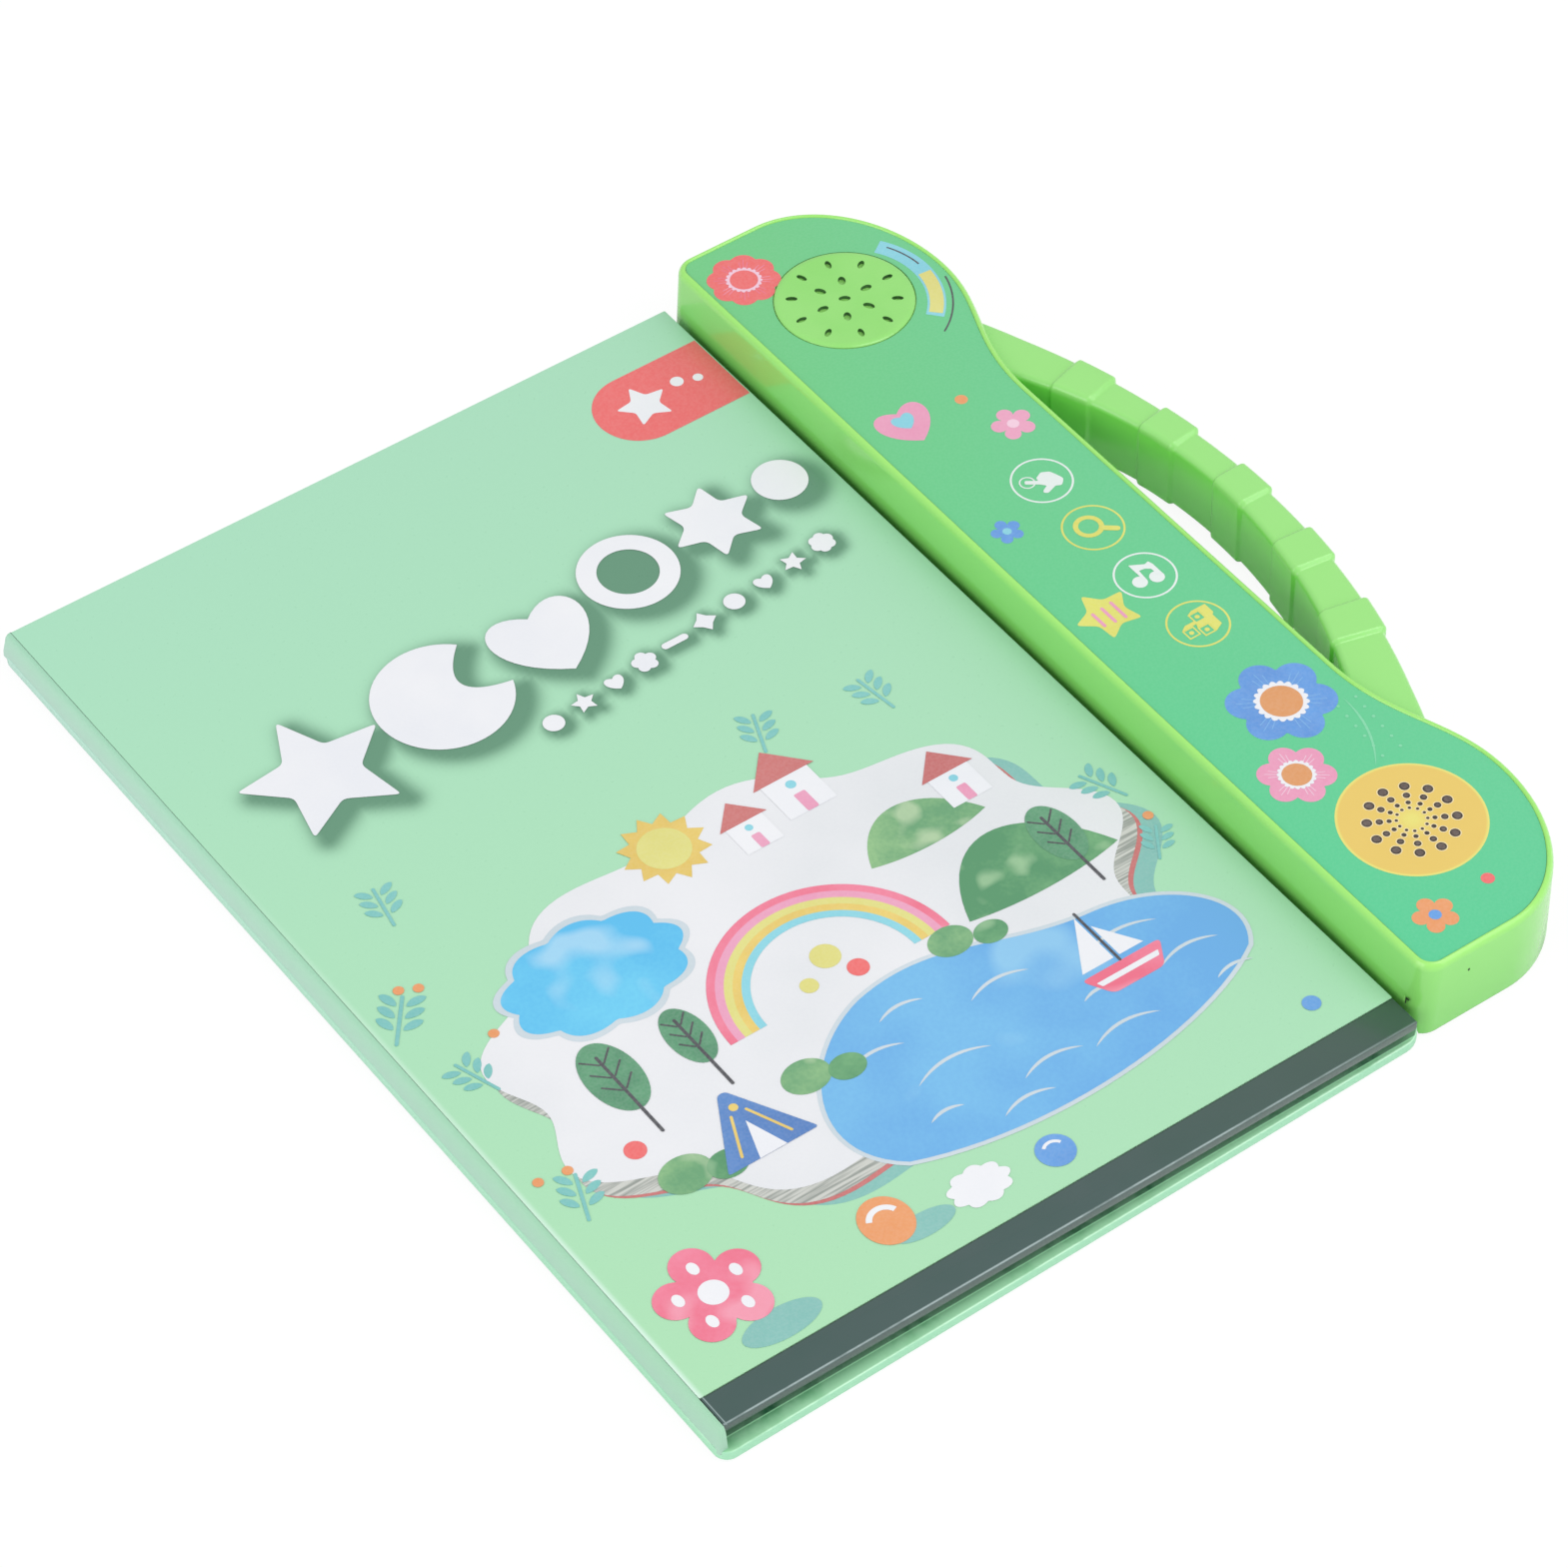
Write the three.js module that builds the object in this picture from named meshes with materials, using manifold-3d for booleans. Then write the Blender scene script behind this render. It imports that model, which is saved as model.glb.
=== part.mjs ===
// Toy sound book: a thin hard-backed book whose right edge is held in a green
// plastic sound housing with a speaker, touch icons and a ribbed carrying handle.
// Millimetres. +X runs from the spine to the handle, +Y from the bottom edge
// of the cover to its top edge, +Z up. The book lies flat on its back cover.
import * as THREE from "three";
import { mergeVertices } from "three/addons/utils/BufferGeometryUtils.js";
import Module from "manifold-3d";

const wasm = await Module();
wasm.setup();

// Driving dimensions
const COVER_RIGHT = 187.4;      // right edge of the front cover, from the left edge
const COVER_HEIGHT = 289;       // bottom edge to top edge
const BOOK_TOP = 9;             // upper face of the front cover above the table
const BOARD = 2.4;              // thickness of the cover boards
const BACK_OVERHANG = 2;        // how far the back cover stands out beyond the front
const END_STEP = 0.2;           // the housing is shorter than the cover by this at each end
const WALL_GAP = 0.6;           // between the front cover and the foot of the housing wall
const HOUSING_TOP = 22;         // top of the housing rim above the table
const HOUSING_LEAN = 2.3;       // the wall beside the book leans away from it by this
const HOUSING_SHIFT = 1;        // the housing sits this much toward the top edge
const WAIST_WIDTH = 48.6;       // narrow middle of the housing
const LOBE_BULGE = 8.4;         // the two end lobes stand out beyond the waist by this
const HANDLE_STAND = 21.8;      // outer face of the handle beyond the waist, at mid length
const CLEAR = 0.05;             // gap between pieces that touch
const FIT = 0.3;                // gap round loose inner pieces
const COLLAR_OUT = 1.5;         // the collars of the handle stand out by this

// Edges and middles that follow from them
const HOUSING_LENGTH = COVER_HEIGHT - 2 * END_STEP;
const HOUSING_LEFT = COVER_RIGHT + WALL_GAP;
const WAIST_RIGHT = HOUSING_LEFT + WAIST_WIDTH;
const LOBE_RIGHT = WAIST_RIGHT + LOBE_BULGE;
const HANDLE_REACH = WAIST_RIGHT + HANDLE_STAND;

// Origin: centre of the whole outline, on the table
const MID_X = (HANDLE_REACH + COLLAR_OUT - BACK_OVERHANG) / 2;
const MID_Y = COVER_HEIGHT / 2;

const part = new THREE.Group();
part.name = "sound_book";

// Colours, roughness and metalness of the materials
function finish(color, roughness, metalness = 0) {
  return new THREE.MeshStandardMaterial({ color, roughness, metalness });
}
const MINT_PRINT = finish("#aae0be", 0.35);
const MINT_EDGE = finish("#b2e2cd", 0.4);
const DARK_BAND = finish("#50645f", 0.35);
const PAPER_EDGE = finish("#8fcf9f", 0.7);
const GREEN_PLASTIC = finish("#86dc6c", 0.3);
const OVERLAY_GREEN = finish("#69d09b", 0.3);
const WHITE_INK = finish("#f4f6f5", 0.4);
const YELLOW_INK = finish("#ebcd69", 0.4);
const BROWN_INK = finish("#4a382b", 0.5);
const RED_INK = finish("#f0706e", 0.4);
const BLUE_INK = finish("#5fa0e6", 0.4);
const SKY_INK = finish("#8cdcfa", 0.4);
const TEAL_INK = finish("#87c3b9", 0.4);
const PINK_INK = finish("#eba0be", 0.4);
const ORANGE_INK = finish("#eba064", 0.4);
const BLACK_PLASTIC = finish("#26282a", 0.5);
const BOARD_GREEN = finish("#1f6b45", 0.5);
const STEEL = finish("#b9bdc0", 0.35, 1);
const CONE_PAPER = finish("#3a3a3c", 0.8);
const BATTERY_WRAP = finish("#5d6f86", 0.4);
const FILM = finish("#c9a25a", 0.4);

// Solids: joining and cutting
function toSolid(geometry) {
  const bare = geometry.clone();
  bare.deleteAttribute("normal");
  bare.deleteAttribute("uv");
  const merged = mergeVertices(bare, 1e-4);
  const mesh = new wasm.Mesh({
    numProp: 3,
    vertProperties: new Float32Array(merged.attributes.position.array),
    triVerts: new Uint32Array(merged.index.array),
  });
  mesh.merge();
  return new wasm.Manifold(mesh);
}

function toGeometry(solid) {
  const mesh = solid.getMesh();
  const geometry = new THREE.BufferGeometry();
  geometry.setAttribute("position", new THREE.BufferAttribute(mesh.vertProperties, 3));
  geometry.setIndex(new THREE.BufferAttribute(mesh.triVerts, 1));
  return geometry;
}

function cut(geometry, ...tools) {
  let solid = toSolid(geometry);
  for (const tool of tools) {
    solid = solid.subtract(toSolid(tool));
  }
  return toGeometry(solid);
}

function join(geometry, ...others) {
  let solid = toSolid(geometry);
  for (const other of others) {
    solid = solid.add(toSolid(other));
  }
  return toGeometry(solid);
}

function place(name, geometry, material) {
  const flat = geometry.index ? geometry.toNonIndexed() : geometry.clone();
  flat.translate(-MID_X, -MID_Y, 0);
  flat.computeVertexNormals();
  const mesh = new THREE.Mesh(flat, material);
  mesh.name = name;
  part.add(mesh);
}

// Plain forms
function box(x0, x1, y0, y1, z0, z1) {
  const geometry = new THREE.BoxGeometry(x1 - x0, y1 - y0, z1 - z0);
  geometry.translate((x0 + x1) / 2, (y0 + y1) / 2, (z0 + z1) / 2);
  return geometry;
}

function drum(x, y, radius, z0, z1, sides = 24, topRadius = radius) {
  const geometry = new THREE.CylinderGeometry(topRadius, radius, z1 - z0, sides);
  geometry.rotateX(Math.PI / 2);
  geometry.translate(x, y, (z0 + z1) / 2);
  return geometry;
}

function slab(shape, z0, z1, curveSegments = 10) {
  const geometry = new THREE.ExtrudeGeometry(shape, {
    depth: z1 - z0,
    bevelEnabled: false,
    curveSegments,
  });
  geometry.translate(0, 0, z0);
  return geometry;
}

// A slab with softened upper and lower edges, keeping its outline size
function softSlab(shape, z0, z1, edge, curveSegments = 6) {
  const geometry = new THREE.ExtrudeGeometry(shape, {
    depth: z1 - z0 - 2 * edge,
    bevelEnabled: true,
    bevelThickness: edge,
    bevelSize: edge,
    bevelOffset: -edge,
    bevelSegments: 2,
    curveSegments,
  });
  geometry.translate(0, 0, z0 + edge);
  return geometry;
}

function roundedRect(x0, x1, y0, y1, leftRadius, rightRadius = leftRadius) {
  const shape = new THREE.Shape();
  shape.moveTo(x0 + leftRadius, y0);
  shape.lineTo(x1 - rightRadius, y0);
  shape.absarc(x1 - rightRadius, y0 + rightRadius, rightRadius, -Math.PI / 2, 0, false);
  shape.lineTo(x1, y1 - rightRadius);
  shape.absarc(x1 - rightRadius, y1 - rightRadius, rightRadius, 0, Math.PI / 2, false);
  shape.lineTo(x0 + leftRadius, y1);
  shape.absarc(x0 + leftRadius, y1 - leftRadius, leftRadius, Math.PI / 2, Math.PI, false);
  shape.lineTo(x0, y0 + leftRadius);
  shape.absarc(x0 + leftRadius, y0 + leftRadius, leftRadius, Math.PI, 1.5 * Math.PI, false);
  return shape;
}

// Stacks equal-count rings of plan points into one closed solid
function loft(levels) {
  const count = levels[0].ring.length;
  const positions = [];
  const index = [];
  for (const level of levels) {
    for (const point of level.ring) {
      positions.push(point.x, point.y, level.z);
    }
  }
  for (let row = 0; row + 1 < levels.length; row += 1) {
    for (let i = 0; i < count; i += 1) {
      const next = (i + 1) % count;
      const a = row * count + i;
      const b = row * count + next;
      const c = a + count;
      const d = b + count;
      index.push(a, b, d, a, d, c);
    }
  }
  const lower = THREE.ShapeUtils.triangulateShape(levels[0].ring, []);
  const upper = THREE.ShapeUtils.triangulateShape(levels[levels.length - 1].ring, []);
  const top = (levels.length - 1) * count;
  for (const [a, b, c] of lower) {
    index.push(a, c, b);
  }
  for (const [a, b, c] of upper) {
    index.push(top + a, top + b, top + c);
  }
  const geometry = new THREE.BufferGeometry();
  geometry.setAttribute("position", new THREE.Float32BufferAttribute(positions, 3));
  geometry.setIndex(index);
  return geometry;
}

// Housing outline: straight beside the book, two rounded lobes, a narrow waist
const HOUSING_MID = MID_Y + HOUSING_SHIFT;
const HALF = HOUSING_LENGTH / 2;
const LOBE_WIDTH = 0.617 * WAIST_WIDTH;         // quarter ellipse at each outer corner
const LOBE_DEPTH = 0.135 * HOUSING_LENGTH;
const FLANK = 0.166 * HOUSING_LENGTH;           // slope from a lobe to the straight waist
const INNER_CORNER = 3.2;       // radius of the two corners beside the book

function halfOutline(left) {
  const points = [];
  const cornerSteps = 4;
  for (let i = 0; i <= cornerSteps; i += 1) {
    const turn = Math.PI + (i / cornerSteps) * (Math.PI / 2);
    points.push(new THREE.Vector2(
      left + INNER_CORNER + INNER_CORNER * Math.cos(turn),
      -HALF + INNER_CORNER + INNER_CORNER * Math.sin(turn),
    ));
  }
  const lobeX = LOBE_RIGHT - LOBE_WIDTH;
  const lobeSteps = 12;
  for (let i = 0; i <= lobeSteps; i += 1) {
    const turn = -Math.PI / 2 + (i / lobeSteps) * (Math.PI / 2);
    points.push(new THREE.Vector2(
      lobeX + LOBE_WIDTH * Math.cos(turn),
      -HALF + LOBE_DEPTH + LOBE_DEPTH * Math.sin(turn),
    ));
  }
  const lobeEnd = -HALF + LOBE_DEPTH;
  const flank = new THREE.CubicBezierCurve(
    new THREE.Vector2(LOBE_RIGHT, lobeEnd),
    new THREE.Vector2(LOBE_RIGHT, lobeEnd + 0.375 * FLANK),
    new THREE.Vector2(WAIST_RIGHT, lobeEnd + 0.54 * FLANK),
    new THREE.Vector2(WAIST_RIGHT, lobeEnd + FLANK),
  );
  points.push(...flank.getPoints(10).slice(1));
  return points;
}

// The whole ring, moved inward by inset; the wall by the book leans with height
function housingRing(height, inset = 0) {
  const left = HOUSING_LEFT + HOUSING_LEAN * (height / HOUSING_TOP);
  const lower = halfOutline(left);
  const upper = lower.map((p) => new THREE.Vector2(p.x, -p.y)).reverse();
  const ring = [...lower, ...upper];
  return insetRing(ring, inset).map((p) => new THREE.Vector2(p.x, p.y + HOUSING_MID));
}

function insetRing(ring, inset) {
  const count = ring.length;
  return ring.map((point, i) => {
    const before = point.clone().sub(ring[(i + count - 1) % count]).normalize();
    const after = ring[(i + 1) % count].clone().sub(point).normalize();
    const inwardA = new THREE.Vector2(-before.y, before.x);
    const inwardB = new THREE.Vector2(-after.y, after.x);
    const along = inwardA.add(inwardB).normalize();
    const spread = Math.max(0.5, along.dot(inwardB));
    return point.clone().addScaledVector(along, inset / spread);
  });
}

function housingBody(inset, z0, z1) {
  return loft([
    { z: z0, ring: housingRing(z0, inset) },
    { z: z1, ring: housingRing(z1, inset) },
  ]);
}

// Book: back cover, spine wall, touch film, pages and the hinged front cover
const SPINE_WALL = 2.3;         // thickness of the wall along the spine
const SPINE_GAP = 0.2;          // crease between the spine wall and the front cover
const HINGE_X = SPINE_WALL - BACK_OVERHANG;
const BAND_WIDTH = 8.8;         // dark strip along the bottom of the front cover
const FILM_THICK = 0.3;
const BACK_EDGE = HOUSING_LEFT + 3;     // rounded right edge of the back cover, under the wall
const BACK_CORNER = 8;
const TONGUE_RIGHT = BACK_EDGE + 9;     // tongue of the back cover held inside the housing
const TONGUE_INSET = 8;
const COVER_BOTTOM = BOOK_TOP - BOARD;
const BACK_TOP = BOARD + 0.4;
const FILM_TAIL_HALF = 10;

function backCover() {
  const shape = roundedRect(
    -BACK_OVERHANG,
    BACK_EDGE,
    -BACK_OVERHANG,
    COVER_HEIGHT + BACK_OVERHANG,
    3.5,
    BACK_CORNER,
  );
  const tongue = box(
    BACK_EDGE - 2,
    TONGUE_RIGHT,
    TONGUE_INSET,
    COVER_HEIGHT - TONGUE_INSET,
    0,
    BACK_TOP,
  );
  return join(softSlab(shape, 0, BACK_TOP, 0.6), tongue);
}

function spineWall() {
  const foot = BACK_TOP + CLEAR;
  const shape = roundedRect(
    -BACK_OVERHANG + 0.2,
    HINGE_X - SPINE_GAP,
    -BACK_OVERHANG + 0.2,
    COVER_HEIGHT + BACK_OVERHANG - 0.2,
    1.1,
    0.4,
  );
  return softSlab(shape, foot, BOOK_TOP - 0.1, 0.3, 4);
}

function touchFilm() {
  const low = BACK_TOP + CLEAR;
  const sheet = box(HINGE_X + 3, COVER_RIGHT - 3, 6, COVER_HEIGHT - 6, low, low + FILM_THICK);
  const tail = box(
    COVER_RIGHT - 4,
    TONGUE_RIGHT - 1,
    HOUSING_MID - FILM_TAIL_HALF,
    HOUSING_MID + FILM_TAIL_HALF,
    low,
    low + FILM_THICK,
  );
  return join(sheet, tail);
}

const PAGE_SETBACK = 2.6;       // pages stand back from the cover edges
const PAGE_BOTTOM = BACK_TOP + FILM_THICK + 2 * CLEAR;

function pageBlock() {
  const shape = roundedRect(
    HINGE_X,
    COVER_RIGHT - 0.6,
    PAGE_SETBACK,
    COVER_HEIGHT - PAGE_SETBACK,
    0.6,
    2.5,
  );
  return slab(shape, PAGE_BOTTOM, COVER_BOTTOM - CLEAR, 4);
}

function frontCover() {
  const shape = roundedRect(HINGE_X, COVER_RIGHT, BAND_WIDTH, COVER_HEIGHT, 0.3);
  return softSlab(shape, COVER_BOTTOM, BOOK_TOP, 0.25, 2);
}

function coverBand() {
  const shape = roundedRect(HINGE_X, COVER_RIGHT, 0, BAND_WIDTH - CLEAR, 0.3);
  return softSlab(shape, COVER_BOTTOM, BOOK_TOP - 0.1, 0.25, 2);
}

place("back_cover", backCover(), MINT_EDGE);
place("spine_wall", spineWall(), MINT_EDGE);
place("touch_film", touchFilm(), FILM);
place("page_block", pageBlock(), PAPER_EDGE);
place("front_cover", frontCover(), MINT_PRINT);
place("cover_band", coverBand(), DARK_BAND);

// Printed pictures are drawn on a plain grid that is stretched over what carries them
const INK = 0.12;
const COVER_GRID = {
  x: 0,
  y: 0,
  across: COVER_RIGHT / 65,
  up: COVER_HEIGHT / 100,
  low: BOOK_TOP + CLEAR,
};

function printed(grid, shape, layer, curveSegments = 8) {
  const geometry = slab(shape, 0, 1, curveSegments);
  geometry.scale(grid.across, grid.up, INK);
  geometry.translate(grid.x, grid.y, grid.low + layer * (INK + CLEAR));
  return geometry;
}

function blob(x, y, radiusX, radiusY, waves, depth, steps = 40, turn = 0) {
  const points = [];
  for (let i = 0; i < steps; i += 1) {
    const angle = (i / steps) * 2 * Math.PI;
    const swell = 1 + depth * Math.cos(waves * angle + turn);
    points.push(new THREE.Vector2(
      x + radiusX * swell * Math.cos(angle),
      y + radiusY * swell * Math.sin(angle),
    ));
  }
  return new THREE.Shape(points);
}

// Round petals about a middle: at each angle the reach of the nearest petal
function flower(x, y, radius, petals, turn = 0) {
  const distance = 0.62 * radius;
  const petal = 0.38 * radius;
  const pitch = (2 * Math.PI) / petals;
  const steps = 8 * petals;
  const points = [];
  for (let i = 0; i < steps; i += 1) {
    const off = (i / steps) * petals * pitch;
    const lean = (off % pitch) - pitch / 2;
    const side = distance * Math.sin(lean);
    const reach = distance * Math.cos(lean) + Math.sqrt(Math.max(petal ** 2 - side ** 2, 0));
    const angle = turn + off - pitch / 2;
    points.push(new THREE.Vector2(x + reach * Math.cos(angle), y + reach * Math.sin(angle)));
  }
  return new THREE.Shape(points);
}

// Cloud: an ellipse with round bumps that meet in sharp notches
function cloud(x, y, radiusX, radiusY, bumps, depth) {
  const steps = 6 * bumps;
  const points = [];
  for (let i = 0; i < steps; i += 1) {
    const angle = (i / steps) * 2 * Math.PI;
    const swell = 1 - depth + depth * Math.abs(Math.cos((bumps * angle) / 2));
    points.push(new THREE.Vector2(
      x + radiusX * swell * Math.cos(angle),
      y + radiusY * swell * Math.sin(angle),
    ));
  }
  return new THREE.Shape(points);
}

function star(x, y, outer, inner, tips, turn = 0) {
  const points = [];
  for (let i = 0; i < 2 * tips; i += 1) {
    const radius = i % 2 ? inner : outer;
    const angle = turn + (i / (2 * tips)) * 2 * Math.PI;
    points.push(new THREE.Vector2(x + radius * Math.cos(angle), y + radius * Math.sin(angle)));
  }
  return new THREE.Shape(points);
}

// Tag with a round left end that runs off the right edge of the cover
function tagShape() {
  const right = 64.88;
  const middle = 91.35;
  const radius = 4.05;
  const shape = new THREE.Shape();
  shape.moveTo(right, middle - radius);
  shape.lineTo(right, middle + radius);
  shape.absarc(56.4, middle, radius, Math.PI / 2, 1.5 * Math.PI, false);
  return shape;
}

function lakeShape() {
  const shape = new THREE.Shape();
  shape.moveTo(25.6, 11.8);
  shape.bezierCurveTo(36, 7.6, 52, 9, 59.6, 13.8);
  shape.bezierCurveTo(63.1, 18, 58.2, 22.9, 52, 23.6);
  shape.bezierCurveTo(44.4, 24.2, 40.2, 29.1, 31.9, 27);
  shape.bezierCurveTo(25, 24.9, 19.4, 16.6, 25.6, 11.8);
  return shape;
}

function hillShape(x, width, base, height) {
  const sag = 1;
  const shape = new THREE.Shape();
  shape.moveTo(x, base);
  shape.bezierCurveTo(x + 0.2 * width, base + 1.3 * height, x + 0.7 * width, base + 1.3 * height,
    x + width, base);
  shape.bezierCurveTo(x + 0.7 * width, base - sag, x + 0.3 * width, base - sag, x, base);
  return shape;
}

// Part of a ring between two angles
function arch(x, y, outer, inner, start, end) {
  const shape = new THREE.Shape();
  shape.absarc(x, y, outer, start, end, false);
  shape.absarc(x, y, inner, end, start, true);
  return shape;
}

function moon(x, y, radius) {
  const shape = new THREE.Shape();
  shape.absarc(x, y, radius, 0.25 * Math.PI, 1.9 * Math.PI, false);
  shape.quadraticCurveTo(x - 0.15 * radius, y - 0.1 * radius,
    x + radius * Math.cos(0.25 * Math.PI), y + radius * Math.sin(0.25 * Math.PI));
  return shape;
}

function heart(x, y, size) {
  const shape = new THREE.Shape();
  shape.moveTo(x, y - size);
  shape.bezierCurveTo(x + 1.5 * size, y - 0.1 * size, x + 0.9 * size, y + 1.2 * size,
    x, y + 0.45 * size);
  shape.bezierCurveTo(x - 0.9 * size, y + 1.2 * size, x - 1.5 * size, y - 0.1 * size,
    x, y - size);
  return shape;
}

function disc(x, y, radius) {
  const shape = new THREE.Shape();
  shape.absarc(x, y, radius, 0, 2 * Math.PI, false);
  return shape;
}

function ringShape(x, y, radius, width) {
  const shape = disc(x, y, radius);
  const hole = new THREE.Path();
  hole.absarc(x, y, radius - width, 0, 2 * Math.PI, true);
  shape.holes.push(hole);
  return shape;
}

// White shapes in the place of the heading, large at the left and smaller to the right
const HEADING = [
  star(11.8, 71.6, 6.9, 3.3, 5, 0.3),
  moon(24.3, 73, 5.9),
  heart(34.7, 74, 4.8),
  ringShape(44.4, 75.8, 4.3, 1.7),
  star(53.4, 76.5, 4.3, 2.4, 6, 0.2),
  disc(60.7, 77.2, 2.4),
];

// Picture below it: a pale field with a lake, hills, a cloud, a sun and a rainbow
const ON_COVER = [
  ["print_tag", tagShape(), 0, RED_INK],
  ["print_field", blob(31.9, 31.8, 27.1, 18.7, 9, 0.06, 72), 0, WHITE_INK],
  ["print_blossom", flower(6.6, 10.4, 4.65, 5, 0.3), 0, PINK_INK],
  ["print_lake", lakeShape(), 1, BLUE_INK],
  ["print_sky", cloud(17.3, 41.2, 8, 5.5, 9, 0.12), 1, SKY_INK],
  ["print_hill_near", hillShape(43.7, 14.5, 28.4, 6.9), 1, TEAL_INK],
  ["print_hill_far", hillShape(40.9, 11.1, 37.4, 4.5), 1, GREEN_PLASTIC],
  ["print_sun", star(29.1, 48.8, 3.8, 2.8, 12), 1, YELLOW_INK],
  ["print_rainbow", arch(31.9, 29.1, 10.4, 7, 0, Math.PI), 1, PINK_INK],
];

for (const [name, shape, layer, material] of ON_COVER) {
  place(name, printed(COVER_GRID, shape, layer, 8), material);
}
HEADING.forEach((shape, i) => {
  place(`print_mark_${i + 1}`, printed(COVER_GRID, shape, 0, 11), WHITE_INK);
});

// Sound housing: shell with a recessed top, moulded grille and hollow inside
const WALL = 2.2;
const ROOF = 2;
const RIM = 2;                  // width of the raised light rim
const RECESS = 0.9;             // depth of the floor under the printed overlay
const OVERLAY_THICK = 0.4;
const DISC_RADIUS = 0.356 * WAIST_WIDTH;        // speaker grille and dot disc
const DISC_INSET = 0.1275 * HOUSING_LENGTH;     // their centres from each end
const DISC_X = HOUSING_LEFT + 0.6 * WAIST_WIDTH;
const FLOOR_Z = HOUSING_TOP - RECESS;
const GRILLE_Y = HOUSING_MID + HALF - DISC_INSET;
const DOT_DISC_Y = HOUSING_MID - HALF + DISC_INSET;
const GRILLE_TOP = HOUSING_TOP + 0.1;
const SLOT_CLEAR = 0.15;

function housingOuter() {
  const soft = 1.6;
  return loft([
    { z: 0, ring: housingRing(0, 0.4) },
    { z: 0.5, ring: housingRing(0.5, 0) },
    { z: HOUSING_TOP - soft, ring: housingRing(HOUSING_TOP - soft, 0.3) },
    { z: HOUSING_TOP - 0.55 * soft, ring: housingRing(HOUSING_TOP, 0.5) },
    { z: HOUSING_TOP - 0.15 * soft, ring: housingRing(HOUSING_TOP, 0.95) },
    { z: HOUSING_TOP, ring: housingRing(HOUSING_TOP, 1.5) },
  ]);
}

// Slots pointing away from the middle of the grille, in two rings round one centre hole
function grilleSlots() {
  const rings = [
    { count: 1, distance: 0, length: 0.15, width: 0.12 },
    { count: 6, distance: 0.32, length: 0.15, width: 0.105 },
    { count: 10, distance: 0.69, length: 0.16, width: 0.08 },
  ];
  const firstTurn = 0.35;
  const low = FLOOR_Z - ROOF - 1;
  const tools = [];
  for (const ring of rings) {
    for (let i = 0; i < ring.count; i += 1) {
      const angle = (i / ring.count) * 2 * Math.PI + firstTurn;
      const shape = new THREE.Shape();
      shape.absellipse(
        DISC_X + ring.distance * DISC_RADIUS * Math.cos(angle),
        GRILLE_Y + ring.distance * DISC_RADIUS * Math.sin(angle),
        (ring.length * DISC_RADIUS) / 2,
        (ring.width * DISC_RADIUS) / 2,
        0,
        2 * Math.PI,
        false,
        angle,
      );
      tools.push(slab(shape, low, GRILLE_TOP + 1, 8));
    }
  }
  return tools;
}

function housingShell() {
  const outer = housingOuter();
  const cavity = housingBody(WALL, -1, FLOOR_Z - ROOF);
  const recess = loft([
    { z: FLOOR_Z, ring: housingRing(HOUSING_TOP, RIM + 0.3) },
    { z: HOUSING_TOP + 1, ring: housingRing(HOUSING_TOP, RIM) },
  ]);
  const slotTop = BACK_TOP + SLOT_CLEAR;
  const slot = box(
    HOUSING_LEFT - 5,
    BACK_EDGE + SLOT_CLEAR,
    -BACK_OVERHANG - 1,
    COVER_HEIGHT + BACK_OVERHANG + 1,
    -1,
    slotTop,
  );
  const tailSlot = box(
    HOUSING_LEFT - 5,
    HOUSING_LEFT + WALL + 3,
    HOUSING_MID - FILM_TAIL_HALF - FIT,
    HOUSING_MID + FILM_TAIL_HALF + FIT,
    -1,
    slotTop + FILM_THICK + FIT,
  );
  const hollow = join(cut(outer, cavity, recess, slot, tailSlot), ...posts());
  const grille = join(
    drum(DISC_X, GRILLE_Y, DISC_RADIUS, FLOOR_Z - 0.5, HOUSING_TOP - 0.5, 48),
    drum(DISC_X, GRILLE_Y, DISC_RADIUS, HOUSING_TOP - 0.5, GRILLE_TOP, 48, DISC_RADIUS - 1.6),
  );
  return cut(join(hollow, grille), ...grilleSlots());
}

// Screw pillars and board pegs moulded under the roof
const ROOF_UNDER = FLOOR_Z - ROOF;
const ICON_PITCH = 0.0686 * HOUSING_LENGTH;
const BOARD_LOW = ROOF_UNDER - 2.6;
const BOARD_TOP = BOARD_LOW + 1.2;
const BOARD_HALF = 2 * ICON_PITCH;
const BOARD_LEFT = DISC_X - 14;
const BOARD_RIGHT = DISC_X + 14;
const BOARD_PEG = 2.5;          // pegs from the edges of the circuit board
const PLATE_TOP = 2.2;
const PLATE_LOW = 0.2;
const POST = 3.2;
const SHANK = 1.3;
const SHANK_HOLE = SHANK + 0.15;
const END_SCREW = 10;           // outer screws from each end of the housing
const SCREWS = [
  { x: DISC_X - 9, y: HOUSING_MID + HALF - END_SCREW },
  { x: WAIST_RIGHT - 6.6, y: HOUSING_MID + 0.18 * HOUSING_LENGTH },
  { x: WAIST_RIGHT - 6.6, y: HOUSING_MID - 0.16 * HOUSING_LENGTH },
  { x: DISC_X - 9, y: HOUSING_MID - HALF + END_SCREW },
];

function posts() {
  const pillars = SCREWS.map((s) => cut(
    drum(s.x, s.y, POST, PLATE_TOP + CLEAR, ROOF_UNDER + 0.5, 16),
    drum(s.x, s.y, SHANK_HOLE, PLATE_TOP - 1, PLATE_TOP + 8, 12),
  ));
  const pegs = [];
  const pegY = BOARD_HALF - BOARD_PEG;
  for (const x of [BOARD_LEFT + BOARD_PEG, BOARD_RIGHT - BOARD_PEG]) {
    for (const y of [HOUSING_MID - pegY, HOUSING_MID + pegY]) {
      pegs.push(drum(x, y, 1.6, BOARD_TOP + CLEAR, ROOF_UNDER + 0.5, 10));
    }
  }
  return [...pillars, ...pegs];
}

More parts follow.
